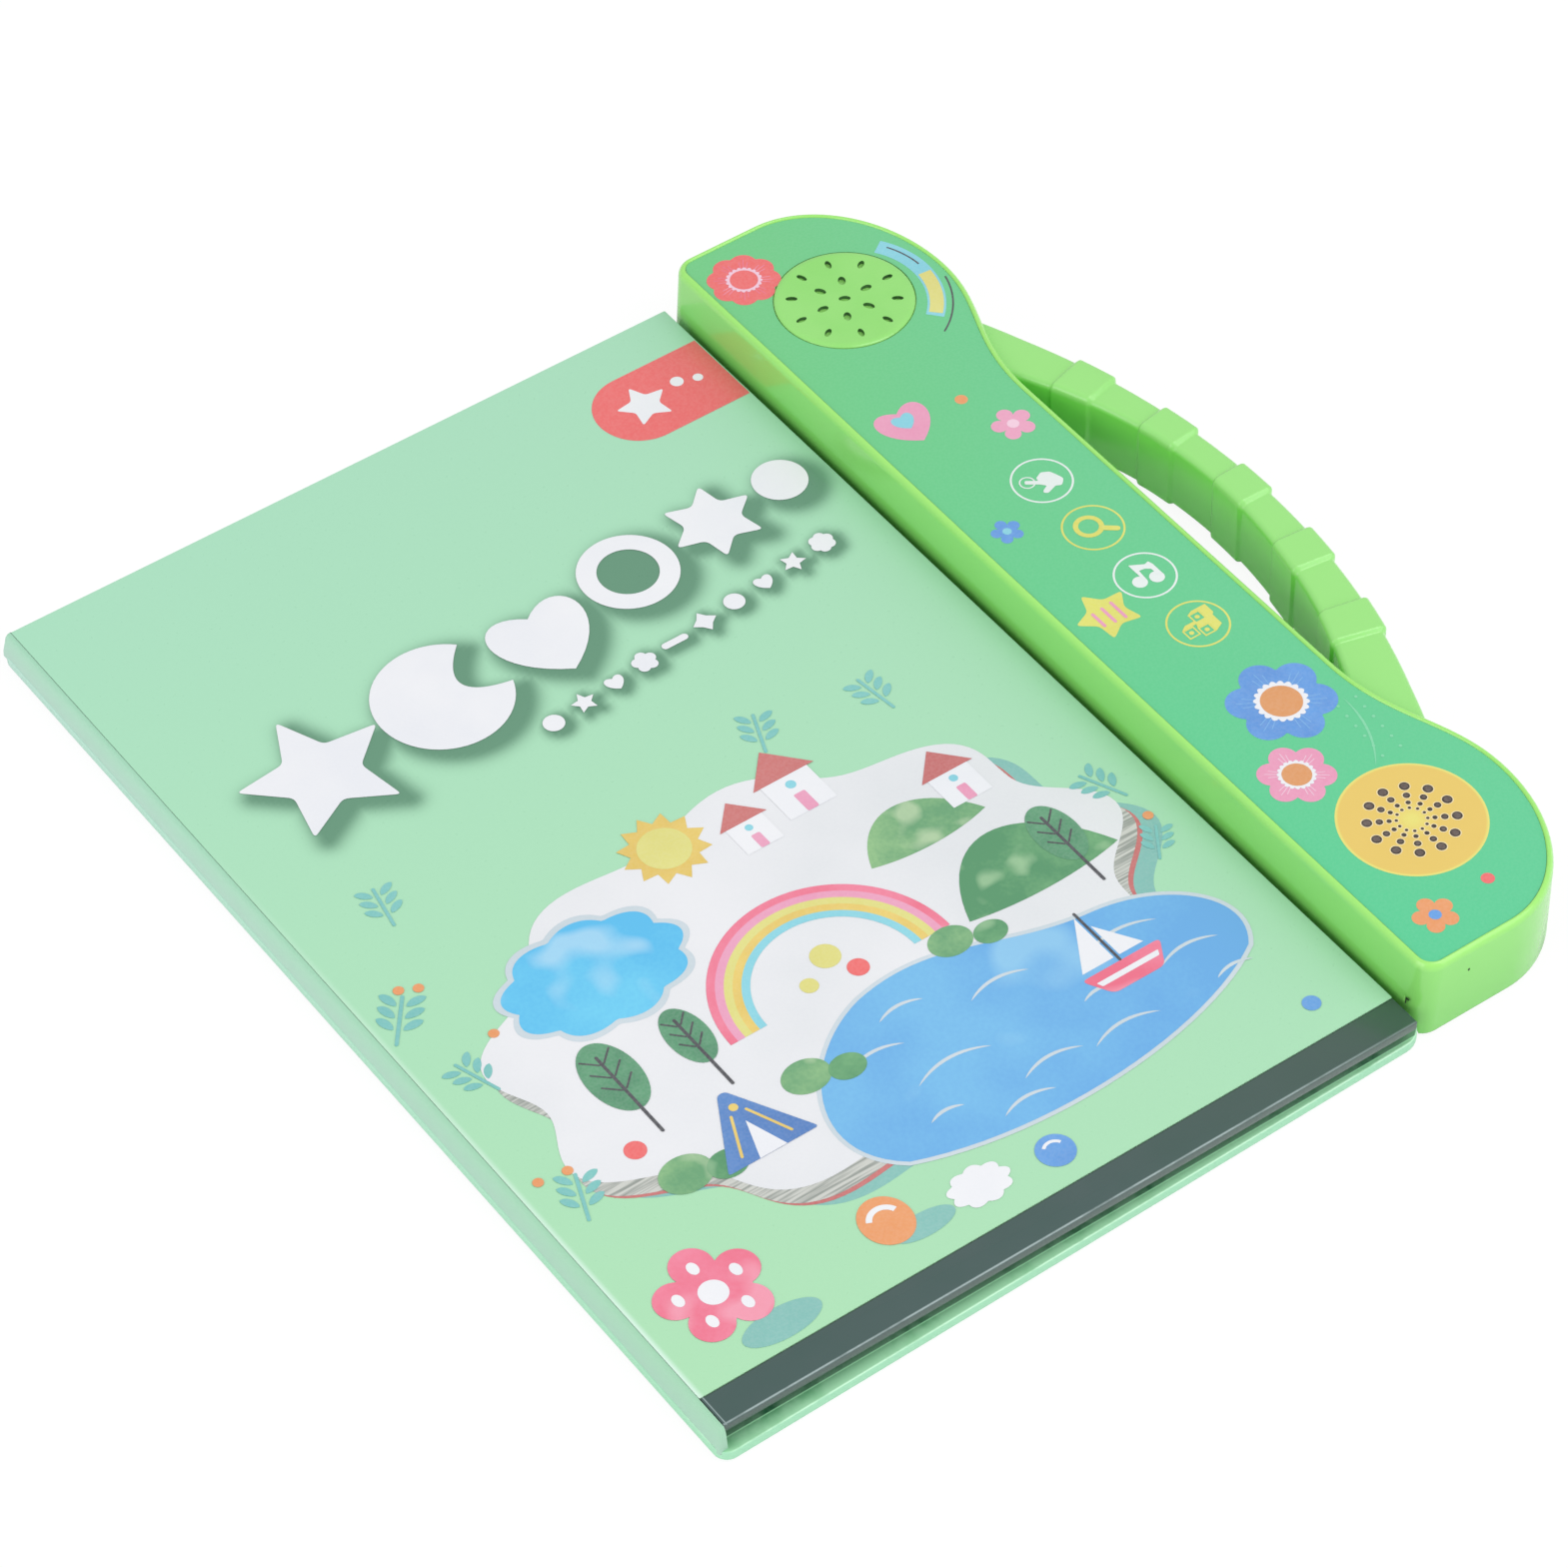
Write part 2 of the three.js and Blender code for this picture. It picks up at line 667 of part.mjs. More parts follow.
function overlayLabel() {
  const sheet = loft([
    { z: FLOOR_Z + CLEAR, ring: housingRing(HOUSING_TOP, RIM + 0.4) },
    { z: FLOOR_Z + CLEAR + OVERLAY_THICK, ring: housingRing(HOUSING_TOP, RIM + 0.4) },
  ]);
  const hole = drum(DISC_X, GRILLE_Y, DISC_RADIUS + 0.25, FLOOR_Z - 1, HOUSING_TOP + 1, 48);
  return cut(sheet, hole);
}

place("housing_shell", housingShell(), GREEN_PLASTIC);
place("overlay_label", overlayLabel(), OVERLAY_GREEN);

// Printed marks on the overlay: the dot disc, four touch icons and flowers
const OVERLAY_TOP = FLOOR_Z + CLEAR + OVERLAY_THICK;
const LABEL_GRID = {
  x: HOUSING_LEFT,
  y: HOUSING_MID - HALF,
  across: WAIST_WIDTH / 17,
  up: HOUSING_LENGTH / 101,
  low: OVERLAY_TOP + CLEAR,
};
const DOTS_X = 10.2;            // discs and icons on the grid of the overlay
const DOTS_Y = 12.88;
const GRILLE_GRID_Y = 101 - DOTS_Y;
const DOTS_RADIUS = 6.05;
const SPOKES = 12;

// Twelve spokes of dots that shrink toward the middle, cut through the yellow disc
function dotTools() {
  const dots = [
    { distance: 0.775, size: 0.075 },
    { distance: 0.59, size: 0.052 },
    { distance: 0.457, size: 0.035 },
  ];
  const low = LABEL_GRID.low - 1;
  const tools = [];
  for (let i = 0; i < SPOKES; i += 1) {
    const angle = ((i + 0.5) / SPOKES) * 2 * Math.PI;
    for (const dot of dots) {
      const x = DISC_X + dot.distance * DISC_RADIUS * Math.cos(angle);
      const y = DOT_DISC_Y + dot.distance * DISC_RADIUS * Math.sin(angle);
      tools.push(drum(x, y, dot.size * DISC_RADIUS, low, low + 2, 8));
    }
  }
  return tools;
}

function dotDisc() {
  const yellow = printed(LABEL_GRID, disc(DOTS_X, DOTS_Y, DOTS_RADIUS), 1, 20);
  return cut(yellow, ...dotTools());
}

const ON_LABEL = [
  ["print_dot_ground", disc(DOTS_X, DOTS_Y, 0.94 * DOTS_RADIUS), BROWN_INK],
  ["print_flower_blue", flower(10.1, 29.3, 4.55, 6, 0.5), BLUE_INK],
  ["print_flower_pink", flower(6, 22.3, 3.2, 6, 0.4), PINK_INK],
  ["print_flower_orange", flower(5.2, 4.4, 1.9, 5, 0.3), ORANGE_INK],
  ["print_flower_red", flower(4.8, 95.8, 3.2, 8, 0.2), RED_INK],
  ["print_heart_pink", heart(5.3, 73.3, 2.7), PINK_INK],
  ["print_star_yellow", star(5, 45.4, 2.9, 1.6, 5, 0.5), YELLOW_INK],
  ["print_crescent_blue", arch(DOTS_X, GRILLE_GRID_Y, 8.4, 6.8, -0.85, 0.6), SKY_INK],
];

for (const [name, shape, material] of ON_LABEL) {
  place(name, printed(LABEL_GRID, shape, 0, 12), material);
}
place("print_dot_disc", dotDisc(), YELLOW_INK);

// Four touch icons in a row along the waist
const ICONS = 4;

function iconY(i) {
  return HOUSING_MID + ((ICONS - 1) / 2 - i) * ICON_PITCH;
}

for (let i = 0; i < ICONS; i += 1) {
  const y = (iconY(i) - LABEL_GRID.y) / LABEL_GRID.up;
  const ring = printed(LABEL_GRID, ringShape(DOTS_X, y, 2.55, 0.28), 0, 12);
  place(`icon_ring_${i + 1}`, ring, i % 2 ? YELLOW_INK : WHITE_INK);
}

// Handle: an arched bar with five raised collars, fixed at both lobes
const HANDLE_FOOT = 0.3236 * HOUSING_LENGTH;    // ends of the arch from its middle
const ARCH_RADIUS = (HANDLE_FOOT ** 2 + HANDLE_STAND ** 2) / (2 * HANDLE_STAND);
const ARCH_X = HANDLE_REACH - ARCH_RADIUS;
const BAR_WIDTH = 7.8;
const BAR_LOW = 1;
const BAR_TOP = HOUSING_TOP - 2;
const COLLARS = 5;
const COLLAR_IN = 0.9;
const COLLAR_UP = 0.7;
const ONE_DEGREE = (ARCH_RADIUS * Math.PI) / 180;           // length along the arch
const COLLAR_PITCH = (0.289 * HANDLE_FOOT) / ONE_DEGREE;    // the rest in degrees
const COLLAR_LENGTH = (0.12 * HANDLE_FOOT) / ONE_DEGREE;
const COLLAR_STEP = 0.22;
const ARCH_END = THREE.MathUtils.radToDeg(Math.asin(HANDLE_FOOT / ARCH_RADIUS));

// Sections of the bar: angle, and how far each face stands out there
function barStations() {
  const stations = [{ angle: -ARCH_END, raise: 0 }];
  for (let i = 0; i < COLLARS; i += 1) {
    const middle = (i - (COLLARS - 1) / 2) * COLLAR_PITCH;
    const start = middle - COLLAR_LENGTH / 2;
    const end = middle + COLLAR_LENGTH / 2;
    stations.push({ angle: middle - COLLAR_PITCH / 2, raise: 0 });
    stations.push({ angle: start - COLLAR_STEP, raise: 0 });
    stations.push({ angle: start, raise: 1 });
    stations.push({ angle: middle, raise: 1 });
    stations.push({ angle: end, raise: 1 });
    stations.push({ angle: end + COLLAR_STEP, raise: 0 });
  }
  stations.push({ angle: (COLLARS / 2) * COLLAR_PITCH, raise: 0 });
  stations.push({ angle: ARCH_END, raise: 0 });
  return stations;
}

// Rounded-edge section as radius and height pairs, counter-clockwise
function barSection(raise) {
  const inner = ARCH_RADIUS - BAR_WIDTH - raise * COLLAR_IN;
  const outer = ARCH_RADIUS + raise * COLLAR_OUT;
  const low = BAR_LOW - raise * 0.5;
  const top = BAR_TOP + raise * COLLAR_UP;
  const soft = 1.2;
  const mid = 0.35 * soft;
  return [
    [inner + soft, low], [outer - soft, low],
    [outer - mid, low + mid], [outer, low + soft],
    [outer, top - soft], [outer - mid, top - mid], [outer - soft, top],
    [inner + soft, top], [inner + mid, top - mid], [inner, top - soft],
    [inner, low + soft], [inner + mid, low + mid],
  ];
}

function handleBar() {
  const stations = barStations();
  const positions = [];
  const index = [];
  const count = barSection(0).length;
  for (const station of stations) {
    const angle = THREE.MathUtils.degToRad(station.angle);
    for (const [radius, z] of barSection(station.raise)) {
      positions.push(
        ARCH_X + radius * Math.cos(angle),
        HOUSING_MID + radius * Math.sin(angle),
        z,
      );
    }
  }
  for (let row = 0; row + 1 < stations.length; row += 1) {
    for (let i = 0; i < count; i += 1) {
      const next = (i + 1) % count;
      const a = row * count + i;
      const b = row * count + next;
      index.push(a, b + count, b, a, a + count, b + count);
    }
  }
  const last = (stations.length - 1) * count;
  for (let i = 1; i + 1 < count; i += 1) {
    index.push(0, i, i + 1);
    index.push(last, last + i + 1, last + i);
  }
  const geometry = new THREE.BufferGeometry();
  geometry.setAttribute("position", new THREE.Float32BufferAttribute(positions, 3));
  geometry.setIndex(index);
  return cut(geometry, housingBody(-CLEAR, -2, HOUSING_TOP + 2));
}

place("handle", handleBar(), GREEN_PLASTIC);

// Underside of the housing: base plate with battery bay, door, screws, switch
const CELLS = 2;                // two small round cells side by side
const CELL_RADIUS = 5.2;
const CELL_LENGTH = 42;
const CELL_PITCH = 2 * CELL_RADIUS + 1;
const BAY_HALF_X = (CELLS * CELL_PITCH) / 2 + 1.2;
const BAY_HALF_Y = CELL_LENGTH / 2 + 8.5;
const DOOR_SCREW_Y = HOUSING_MID + BAY_HALF_Y - 3.6;
const SWITCH_X = DISC_X + 2;
const SWITCH_Y = HOUSING_MID - 0.208 * HOUSING_LENGTH;
const SWITCH_TRAVEL = 4;        // slide from off to loud
const KNOB_X = 2.4;
const KNOB_Y = 1.8;
const HEAD = 2.6;

function basePlate() {
  const whole = housingBody(WALL + FIT, PLATE_LOW, PLATE_TOP);
  const edge = box(
    HOUSING_LEFT - 5, BACK_EDGE + FIT, -5, COVER_HEIGHT + 5, -1, PLATE_TOP + 1,
  );
  const tuck = box(
    HOUSING_LEFT - 5,
    TONGUE_RIGHT + FIT,
    TONGUE_INSET - FIT,
    COVER_HEIGHT - TONGUE_INSET + FIT,
    -1,
    PLATE_TOP + 1,
  );
  const bay = box(
    DISC_X - BAY_HALF_X,
    DISC_X + BAY_HALF_X,
    HOUSING_MID - BAY_HALF_Y,
    HOUSING_MID + BAY_HALF_Y,
    -1,
    PLATE_TOP + 1,
  );
  const slot = box(
    SWITCH_X - KNOB_X - FIT,
    SWITCH_X + KNOB_X + FIT,
    SWITCH_Y - KNOB_Y - FIT,
    SWITCH_Y + KNOB_Y + SWITCH_TRAVEL + FIT,
    -1,
    PLATE_TOP + 1,
  );
  const wells = SCREWS.map((s) => drum(s.x, s.y, HEAD + FIT, -1, 1.6, 16));
  const shanks = SCREWS.map((s) => drum(s.x, s.y, SHANK_HOLE, -1, PLATE_TOP + 1, 12));
  return cut(whole, edge, tuck, bay, slot, ...wells, ...shanks);
}

function screw(x, y, headZ, length) {
  const head = drum(x, y, HEAD, headZ, headZ + 1.2, 16);
  const shank = drum(x, y, SHANK, headZ + 1, headZ + length, 10);
  const crossA = box(x - 1.7, x + 1.7, y - 0.35, y + 0.35, headZ - 1, headZ + 0.6);
  const crossB = box(x - 0.35, x + 0.35, y - 1.7, y + 1.7, headZ - 1, headZ + 0.6);
  return cut(join(head, shank), crossA, crossB);
}

function batteryDoor() {
  const panel = box(
    DISC_X - BAY_HALF_X + FIT,
    DISC_X + BAY_HALF_X - FIT,
    HOUSING_MID - BAY_HALF_Y + FIT,
    HOUSING_MID + BAY_HALF_Y - FIT,
    PLATE_LOW,
    PLATE_TOP,
  );
  const grips = [];
  for (let i = 0; i < 4; i += 1) {
    const y = HOUSING_MID - 12 + i * 2.2;
    grips.push(box(DISC_X - 6, DISC_X + 6, y, y + 0.9, -1, PLATE_LOW + 0.4));
  }
  const well = drum(DISC_X, DOOR_SCREW_Y, HEAD + FIT, -1, 1.6, 16);
  const hole = drum(DISC_X, DOOR_SCREW_Y, SHANK_HOLE, -1, PLATE_TOP + 1, 12);
  return cut(panel, ...grips, well, hole);
}

place("base_plate", basePlate(), GREEN_PLASTIC);
SCREWS.forEach((s, i) => {
  place(`screw_${i + 1}`, screw(s.x, s.y, 0.35, 7), STEEL);
});
place("battery_door", batteryDoor(), GREEN_PLASTIC);
place("door_screw", screw(DISC_X, DOOR_SCREW_Y, 0.35, 6), STEEL);

// Inside: battery tray with two cells and contacts, board, speaker, switch
const CELL_Z = PLATE_TOP + CELL_RADIUS + FIT;
const CELL_NUB = 1;
const TRAY_WALL = 1;
const TRAY_LIP = 0.6;           // the tray laps over the edge of the bay by this

function cell(x) {
  const profile = [
    new THREE.Vector2(0, -CELL_LENGTH / 2),
    new THREE.Vector2(CELL_RADIUS - 0.4, -CELL_LENGTH / 2),
    new THREE.Vector2(CELL_RADIUS, -CELL_LENGTH / 2 + 0.4),
    new THREE.Vector2(CELL_RADIUS, CELL_LENGTH / 2 - 0.8),
    new THREE.Vector2(CELL_RADIUS - 0.6, CELL_LENGTH / 2),
    new THREE.Vector2(1.8, CELL_LENGTH / 2),
    new THREE.Vector2(1.8, CELL_LENGTH / 2 + CELL_NUB),
    new THREE.Vector2(0, CELL_LENGTH / 2 + CELL_NUB),
  ];
  const geometry = new THREE.LatheGeometry(profile, 18);
  geometry.translate(x, HOUSING_MID, 0);
  geometry.translate(0, 0, CELL_Z);
  return geometry;
}

function batteryTray() {
  const top = CELL_Z + CELL_RADIUS + FIT + TRAY_WALL;
  const outside = box(
    DISC_X - BAY_HALF_X - TRAY_LIP,
    DISC_X + BAY_HALF_X + TRAY_LIP,
    HOUSING_MID - BAY_HALF_Y - TRAY_LIP,
    HOUSING_MID + BAY_HALF_Y + TRAY_LIP,
    PLATE_TOP + CLEAR,
    top,
  );
  const inside = box(
    DISC_X - BAY_HALF_X + TRAY_LIP,
    DISC_X + BAY_HALF_X - TRAY_LIP,
    HOUSING_MID - BAY_HALF_Y + TRAY_LIP,
    HOUSING_MID + BAY_HALF_Y - TRAY_LIP,
    0,
    top - TRAY_WALL,
  );
  const boss = cut(
    drum(DISC_X, DOOR_SCREW_Y, 2.5, PLATE_TOP + CLEAR, top - 0.5, 14),
    drum(DISC_X, DOOR_SCREW_Y, SHANK_HOLE, 0, PLATE_TOP + 6, 12),
  );
  return join(cut(outside, inside), boss);
}

place("battery_tray", batteryTray(), BLACK_PLASTIC);
for (let i = 0; i < CELLS; i += 1) {
  const x = DISC_X + (i - (CELLS - 1) / 2) * CELL_PITCH;
  place(`battery_${i + 1}`, cell(x), BATTERY_WRAP);
}
[-1, 1].forEach((side, i) => {
  const face = HOUSING_MID + side * (CELL_LENGTH / 2 + CELL_NUB + 0.2);
  const back = face + side * 0.4;
  place(`contact_plate_${i + 1}`, box(
    DISC_X - CELL_PITCH + 1,
    DISC_X + CELL_PITCH - 1,
    Math.min(face, back),
    Math.max(face, back),
    PLATE_TOP + CLEAR,
    CELL_Z + CELL_RADIUS,
  ), STEEL);
});

// Circuit board under the icons, with its sound chip and four touch pads
place("circuit_board", box(
  BOARD_LEFT,
  BOARD_RIGHT,
  HOUSING_MID - BOARD_HALF,
  HOUSING_MID + BOARD_HALF,
  BOARD_LOW,
  BOARD_TOP,
), BOARD_GREEN);
const CHIP = 7;
const CHIP_Y = HOUSING_MID + BOARD_HALF - 8.5;
place("sound_chip", box(
  DISC_X - CHIP - 2,
  DISC_X - 2,
  CHIP_Y,
  CHIP_Y + CHIP,
  BOARD_LOW - 1.6,
  BOARD_LOW - CLEAR,
), BLACK_PLASTIC);
for (let i = 0; i < ICONS; i += 1) {
  const spring = drum(DISC_X, iconY(i), 2.6, BOARD_TOP + CLEAR, ROOF_UNDER - CLEAR, 12);
  place(`touch_spring_${i + 1}`, spring, STEEL);
}

// Speaker under the grille: basket, paper cone and magnet
const SPEAKER_TOP = ROOF_UNDER - CLEAR;
const SPEAKER_RADIUS = DISC_RADIUS + 0.7;
const SPEAKER_DEPTH = 11;
const BASKET_DEPTH = 6;

function speakerDrum(radius, low, high, topRadius = radius) {
  const sides = 32;
  return drum(
    DISC_X,
    GRILLE_Y,
    radius * SPEAKER_RADIUS,
    SPEAKER_TOP - low,
    SPEAKER_TOP - high,
    sides,
    topRadius * SPEAKER_RADIUS,
  );
}

function speakerBasket() {
  const ring = speakerDrum(1, 1.4, 0);
  const bowl = speakerDrum(0.555, BASKET_DEPTH, 1.2, 0.86);
  const inside = speakerDrum(0.48, BASKET_DEPTH - 1, -0.5, 0.9);
  return cut(join(ring, bowl), inside);
}

function speakerCone() {
  const outside = speakerDrum(0.355, 4.7, 0.8, 0.755);
  const inside = speakerDrum(0.255, 4, 0.4, 0.72);
  return cut(outside, inside);
}

place("speaker_basket", speakerBasket(), STEEL);
place("speaker_cone", speakerCone(), CONE_PAPER);
place("speaker_magnet", speakerDrum(0.5, SPEAKER_DEPTH, BASKET_DEPTH + CLEAR), STEEL);

// Slide switch on the underside: body inside, knob through the plate
function switchKnob() {
  const stem = box(
    SWITCH_X - KNOB_X,
    SWITCH_X + KNOB_X,
    SWITCH_Y - KNOB_Y,
    SWITCH_Y + KNOB_Y,
    PLATE_LOW + 0.2,
    PLATE_TOP + 0.6,
  );
  const grooves = [-0.9, 0, 0.9].map((offset) => box(
    SWITCH_X - KNOB_X - 1,
    SWITCH_X + KNOB_X + 1,
    SWITCH_Y + offset - 0.2,
    SWITCH_Y + offset + 0.2,
    -1,
    PLATE_LOW + 0.5,
  ));
  return cut(stem, ...grooves);
}

place("switch_body", box(
  SWITCH_X - 4,
  SWITCH_X + 4,
  SWITCH_Y - 5,
  SWITCH_Y + 9,
  PLATE_TOP + 0.6 + CLEAR,
  PLATE_TOP + 6,
), BLACK_PLASTIC);
place("switch_knob", switchKnob(), BLACK_PLASTIC);

export default part;
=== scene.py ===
import bpy
import math
import numpy as np
from mathutils import Matrix, Vector
from mathutils.geometry import tessellate_polygon


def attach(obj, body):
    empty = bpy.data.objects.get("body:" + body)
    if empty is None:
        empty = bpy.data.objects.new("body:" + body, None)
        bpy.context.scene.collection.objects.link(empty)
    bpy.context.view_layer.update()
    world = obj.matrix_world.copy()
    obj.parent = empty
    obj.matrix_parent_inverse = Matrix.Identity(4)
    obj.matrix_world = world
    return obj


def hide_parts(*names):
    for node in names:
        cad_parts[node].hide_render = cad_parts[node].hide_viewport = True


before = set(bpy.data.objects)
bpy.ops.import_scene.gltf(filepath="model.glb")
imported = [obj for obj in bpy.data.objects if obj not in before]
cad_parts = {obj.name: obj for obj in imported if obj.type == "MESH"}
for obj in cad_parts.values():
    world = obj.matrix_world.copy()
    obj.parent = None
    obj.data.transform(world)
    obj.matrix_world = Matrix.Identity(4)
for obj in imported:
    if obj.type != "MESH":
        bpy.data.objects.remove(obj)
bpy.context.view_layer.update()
MM = 0.001

# Back cover and spine wall: board wrapped in printed mint paper, glued to the pages
# at the left; its rounded edge stands out beyond the front cover and its right part
# runs under the housing wall.
COVER_RIGHT = 187.4
COVER_HEIGHT = 289.0
BOOK_TOP = 9.0
BOARD = 2.4
OVERHANG = 2.0
BACK_EXTRA = 0.4                 # how much thicker the back board is than the front one
BACK_TOP = BOARD + BACK_EXTRA
BACK_UNDER = 3.6                 # how far it runs on under the housing
BACK_EDGE = COVER_RIGHT + BACK_UNDER
HINGE_X = 0.3
HANDLE_REACH = 258.4
COLLAR_OUT = 1.5

# Middle of the whole book, which is the origin of the frame
MID_X = (HANDLE_REACH + COLLAR_OUT - OVERHANG) / 2
MID_Y = COVER_HEIGHT / 2


def make_mesh(name, verts, faces, material, smooth=40):
    """Mesh in the frame's metres from points in millimetres, measured from the near left
    corner of the cover. Folds below the smooth angle are shaded round."""
    mesh = bpy.data.meshes.new(name)
    points = (np.asarray(verts, float) - (MID_X, MID_Y, 0)) * MM
    mesh.from_pydata(points.tolist(), [], [tuple(int(i) for i in f) for f in faces])
    mesh.validate()
    mesh.materials.append(material)
    mesh.shade_smooth()
    mesh.set_sharp_from_angle(angle=math.radians(smooth))
    obj = bpy.data.objects.new(name, mesh)
    bpy.context.scene.collection.objects.link(obj)
    return obj


def rounded_rect(x0, x1, y0, y1, left, right, steps=6):
    """Counter-clockwise ring of a rectangle: a quarter circle about each corner's centre,
    from the near right corner round to the near left one."""
    radius = np.array([[right], [right], [left], [left]])
    centre_x = np.array([[x1 - right], [x1 - right], [x0 + left], [x0 + left]])
    centre_y = np.array([[y0 + right], [y1 - right], [y1 - left], [y0 + left]])
    start = np.radians([[-90], [0], [90], [180]])
    turn = start + np.linspace(0, math.pi / 2, steps + 1)
    ring = np.stack([centre_x + radius * np.cos(turn), centre_y + radius * np.sin(turn)], axis=2)
    return ring.reshape(-1, 2)


def inset_ring(ring, distance):
    """Moves every ring point inward along the mean of its two edge normals."""
    before = ring - np.roll(ring, 1, axis=0)
    after = np.roll(ring, -1, axis=0) - ring
    before /= np.maximum(np.linalg.norm(before, axis=1, keepdims=True), 1e-9)
    after /= np.maximum(np.linalg.norm(after, axis=1, keepdims=True), 1e-9)
    inward = np.stack([-before[:, 1] - after[:, 1], before[:, 0] + after[:, 0]], axis=1)
    inward /= np.maximum(np.linalg.norm(inward, axis=1, keepdims=True), 1e-9)
    normal = np.stack([-after[:, 1], after[:, 0]], axis=1)
    spread = np.maximum(0.5, (inward * normal).sum(axis=1, keepdims=True))
    return ring + inward * distance / spread


def grid_faces(rows, count, closed=True):
    """Four-cornered faces between neighbouring rows of a grid: along a row, then up."""
    start = np.arange(rows - 1)[:, None] * count
    here = np.arange(count if closed else count - 1)
    ahead = (here + 1) % count
    corners = [start + here, start + ahead, start + ahead + count, start + here + count]
    return np.stack(corners, axis=2).reshape(-1, 4)


def loft(name, levels, material, smooth=40, close=True):
    """Surface through equal-count rings, each with its own heights, and flat caps."""
    count = len(levels[0][1])
    verts = np.concatenate([
        np.column_stack([ring, np.broadcast_to(z, (count,))]) for z, ring in levels
    ])
    faces = grid_faces(len(levels), count).tolist()
    if close:
        faces += [range(count)[::-1], range(len(verts) - count, len(verts))]
    return make_mesh(name, verts, faces, material, smooth)


def edge_profile(z0, z1, low_edge, top_edge):
    """Heights and insets of a wall with quarter-round lower and upper edges."""
    turn = np.linspace(0, math.pi / 2, 5)
    short, inset = 1 - np.sin(turn), 1 - np.cos(turn)
    low = np.column_stack([z0 + low_edge * short, low_edge * inset])
    top = np.column_stack([z1 - top_edge * short, top_edge * inset])
    return np.concatenate([low[::-1], top])


def board(name, ring, z0, z1, low_edge, top_edge, material):
    """A flat piece of the ring's outline with softly rounded edges."""
    levels = [(z, inset_ring(ring, d)) for z, d in edge_profile(z0, z1, low_edge, top_edge)]
    return loft(name, levels, material)


class Paint:
    """Short hand for building one material's nodes. Positions in it are in metres."""

    def __init__(self, name, rough, coat=0.0, metal=0.0):
        self.material = bpy.data.materials.new(name)
        self.material.use_nodes = True
        self.nodes = self.material.node_tree.nodes
        self.links = self.material.node_tree.links
        self.shader = self.nodes["Principled BSDF"]
        self.shader.inputs["Roughness"].default_value = rough
        self.shader.inputs["Coat Weight"].default_value = coat
        self.shader.inputs["Coat Roughness"].default_value = 0.15
        self.shader.inputs["Metallic"].default_value = metal

    def node(self, kind, inputs=None, **settings):
        """New shader node; an input is either a value or another node's output."""
        made = self.nodes.new("ShaderNode" + kind)
        for key, value in settings.items():
            setattr(made, key, value)
        for key, value in (inputs or {}).items():
            if hasattr(value, "is_output"):
                self.links.new(value, made.inputs[key])
            else:
                made.inputs[key].default_value = value
        return made

    def math(self, operation, a, b=0.0, clamp=False):
        made = self.node("Math", {0: a, 1: b}, operation=operation, use_clamp=clamp)
        return made.outputs[0]

    def ramp(self, value, low, high):
        """Nought up to the low value, one from the high value on, straight between."""
        made = self.node("MapRange", {"Value": value, "From Min": low, "From Max": high})
        return made.outputs[0]

    def mix(self, factor, a, b):
        """Colour a at a factor of nought, colour b at one."""
        made = self.nodes.new("ShaderNodeMix")
        made.data_type = "RGBA"
        for socket, value in ((made.inputs[0], factor), (made.inputs[6], a), (made.inputs[7], b)):
            if hasattr(value, "is_output"):
                self.links.new(value, socket)
            else:
                socket.default_value = value
        return made.outputs[2]

    def fall(self, value, low, high):
        """One up to the low value, nought from the high value on, straight between."""
        return self.math("SUBTRACT", 1.0, self.ramp(value, low, high))

    def times(self, a, b):
        """The product, which is how one mask cuts another or is weakened."""
        return self.math("MULTIPLY", a, b)

    def away(self, a, b):
        """Distance between two values."""
        return self.math("ABSOLUTE", self.math("SUBTRACT", a, b))

    def position(self):
        """The three axes of the place on the piece, and that place as one vector."""
        where = self.node("TexCoord").outputs["Object"]
        return self.node("SeparateXYZ", {0: where}).outputs, where

    def noise(self, scale, detail=3.0):
        """Soft random values from nought to one, finer with a larger scale."""
        where = self.node("TexCoord").outputs["Object"]
        made = self.node("TexNoise", {
            "Vector": where, "Scale": scale, "Detail": detail, "Roughness": 0.6,
        })
        return made.outputs[0]

    def colour(self, value):
        self.links.new(value, self.shader.inputs["Base Color"])

    def bump(self, height, strength, distance=0.2 * MM):
        made = self.node("Bump", {
            "Height": height, "Strength": strength, "Distance": distance,
        })
        self.links.new(made.outputs[0], self.shader.inputs["Normal"])

    def gloss(self, value):
        self.links.new(value, self.shader.inputs["Roughness"])


def rgb(red, green, blue):
    """Display colour of 0 to 255 as a linear colour with alpha."""
    parts = []
    for value in (red, green, blue):
        value /= 255
        parts.append(value / 12.92 if value <= 0.04045 else ((value + 0.055) / 1.055) ** 2.4)
    return (*parts, 1.0)


DRIFT_END = 145 * MM             # from the middle to where the greens stop changing


def mint_paint(name, near, far, rough):
    """Laminated mint print: a slow drift between two greens and a fine paper grain."""
    paint = Paint(name, rough, coat=0.25)
    axes, _ = paint.position()
    along = paint.ramp(axes[1], -DRIFT_END, DRIFT_END)
    drift = paint.mix(along, near, far)
    grain = paint.ramp(paint.noise(900.0), 0.3, 0.7)
    shade = paint.mix(paint.times(grain, 0.05), drift, rgb(120, 190, 160))
    paint.colour(shade)
    paint.bump(paint.noise(260.0, 4.0), 0.06)
    paint.gloss(paint.math("ADD", paint.times(grain, 0.06), rough - 0.03))
    return paint


LIP_LEFT = 0.85                  # how far the near edge stands out further at the spine
LIP_SLOPE = 0.0158               # and how it runs back toward the housing
PAPER_EDGE = 3.1 * MM            # from the near edge in to the paper glued inside
# The next height is the middle of a painted highlight along the upper edge.
EDGE_HIGHLIGHT_HEIGHT = 2.66 * MM          # middle of the worn upper edge
STRIP_END = (12 * MM, 16 * MM)   # the strip's tones fade out between these


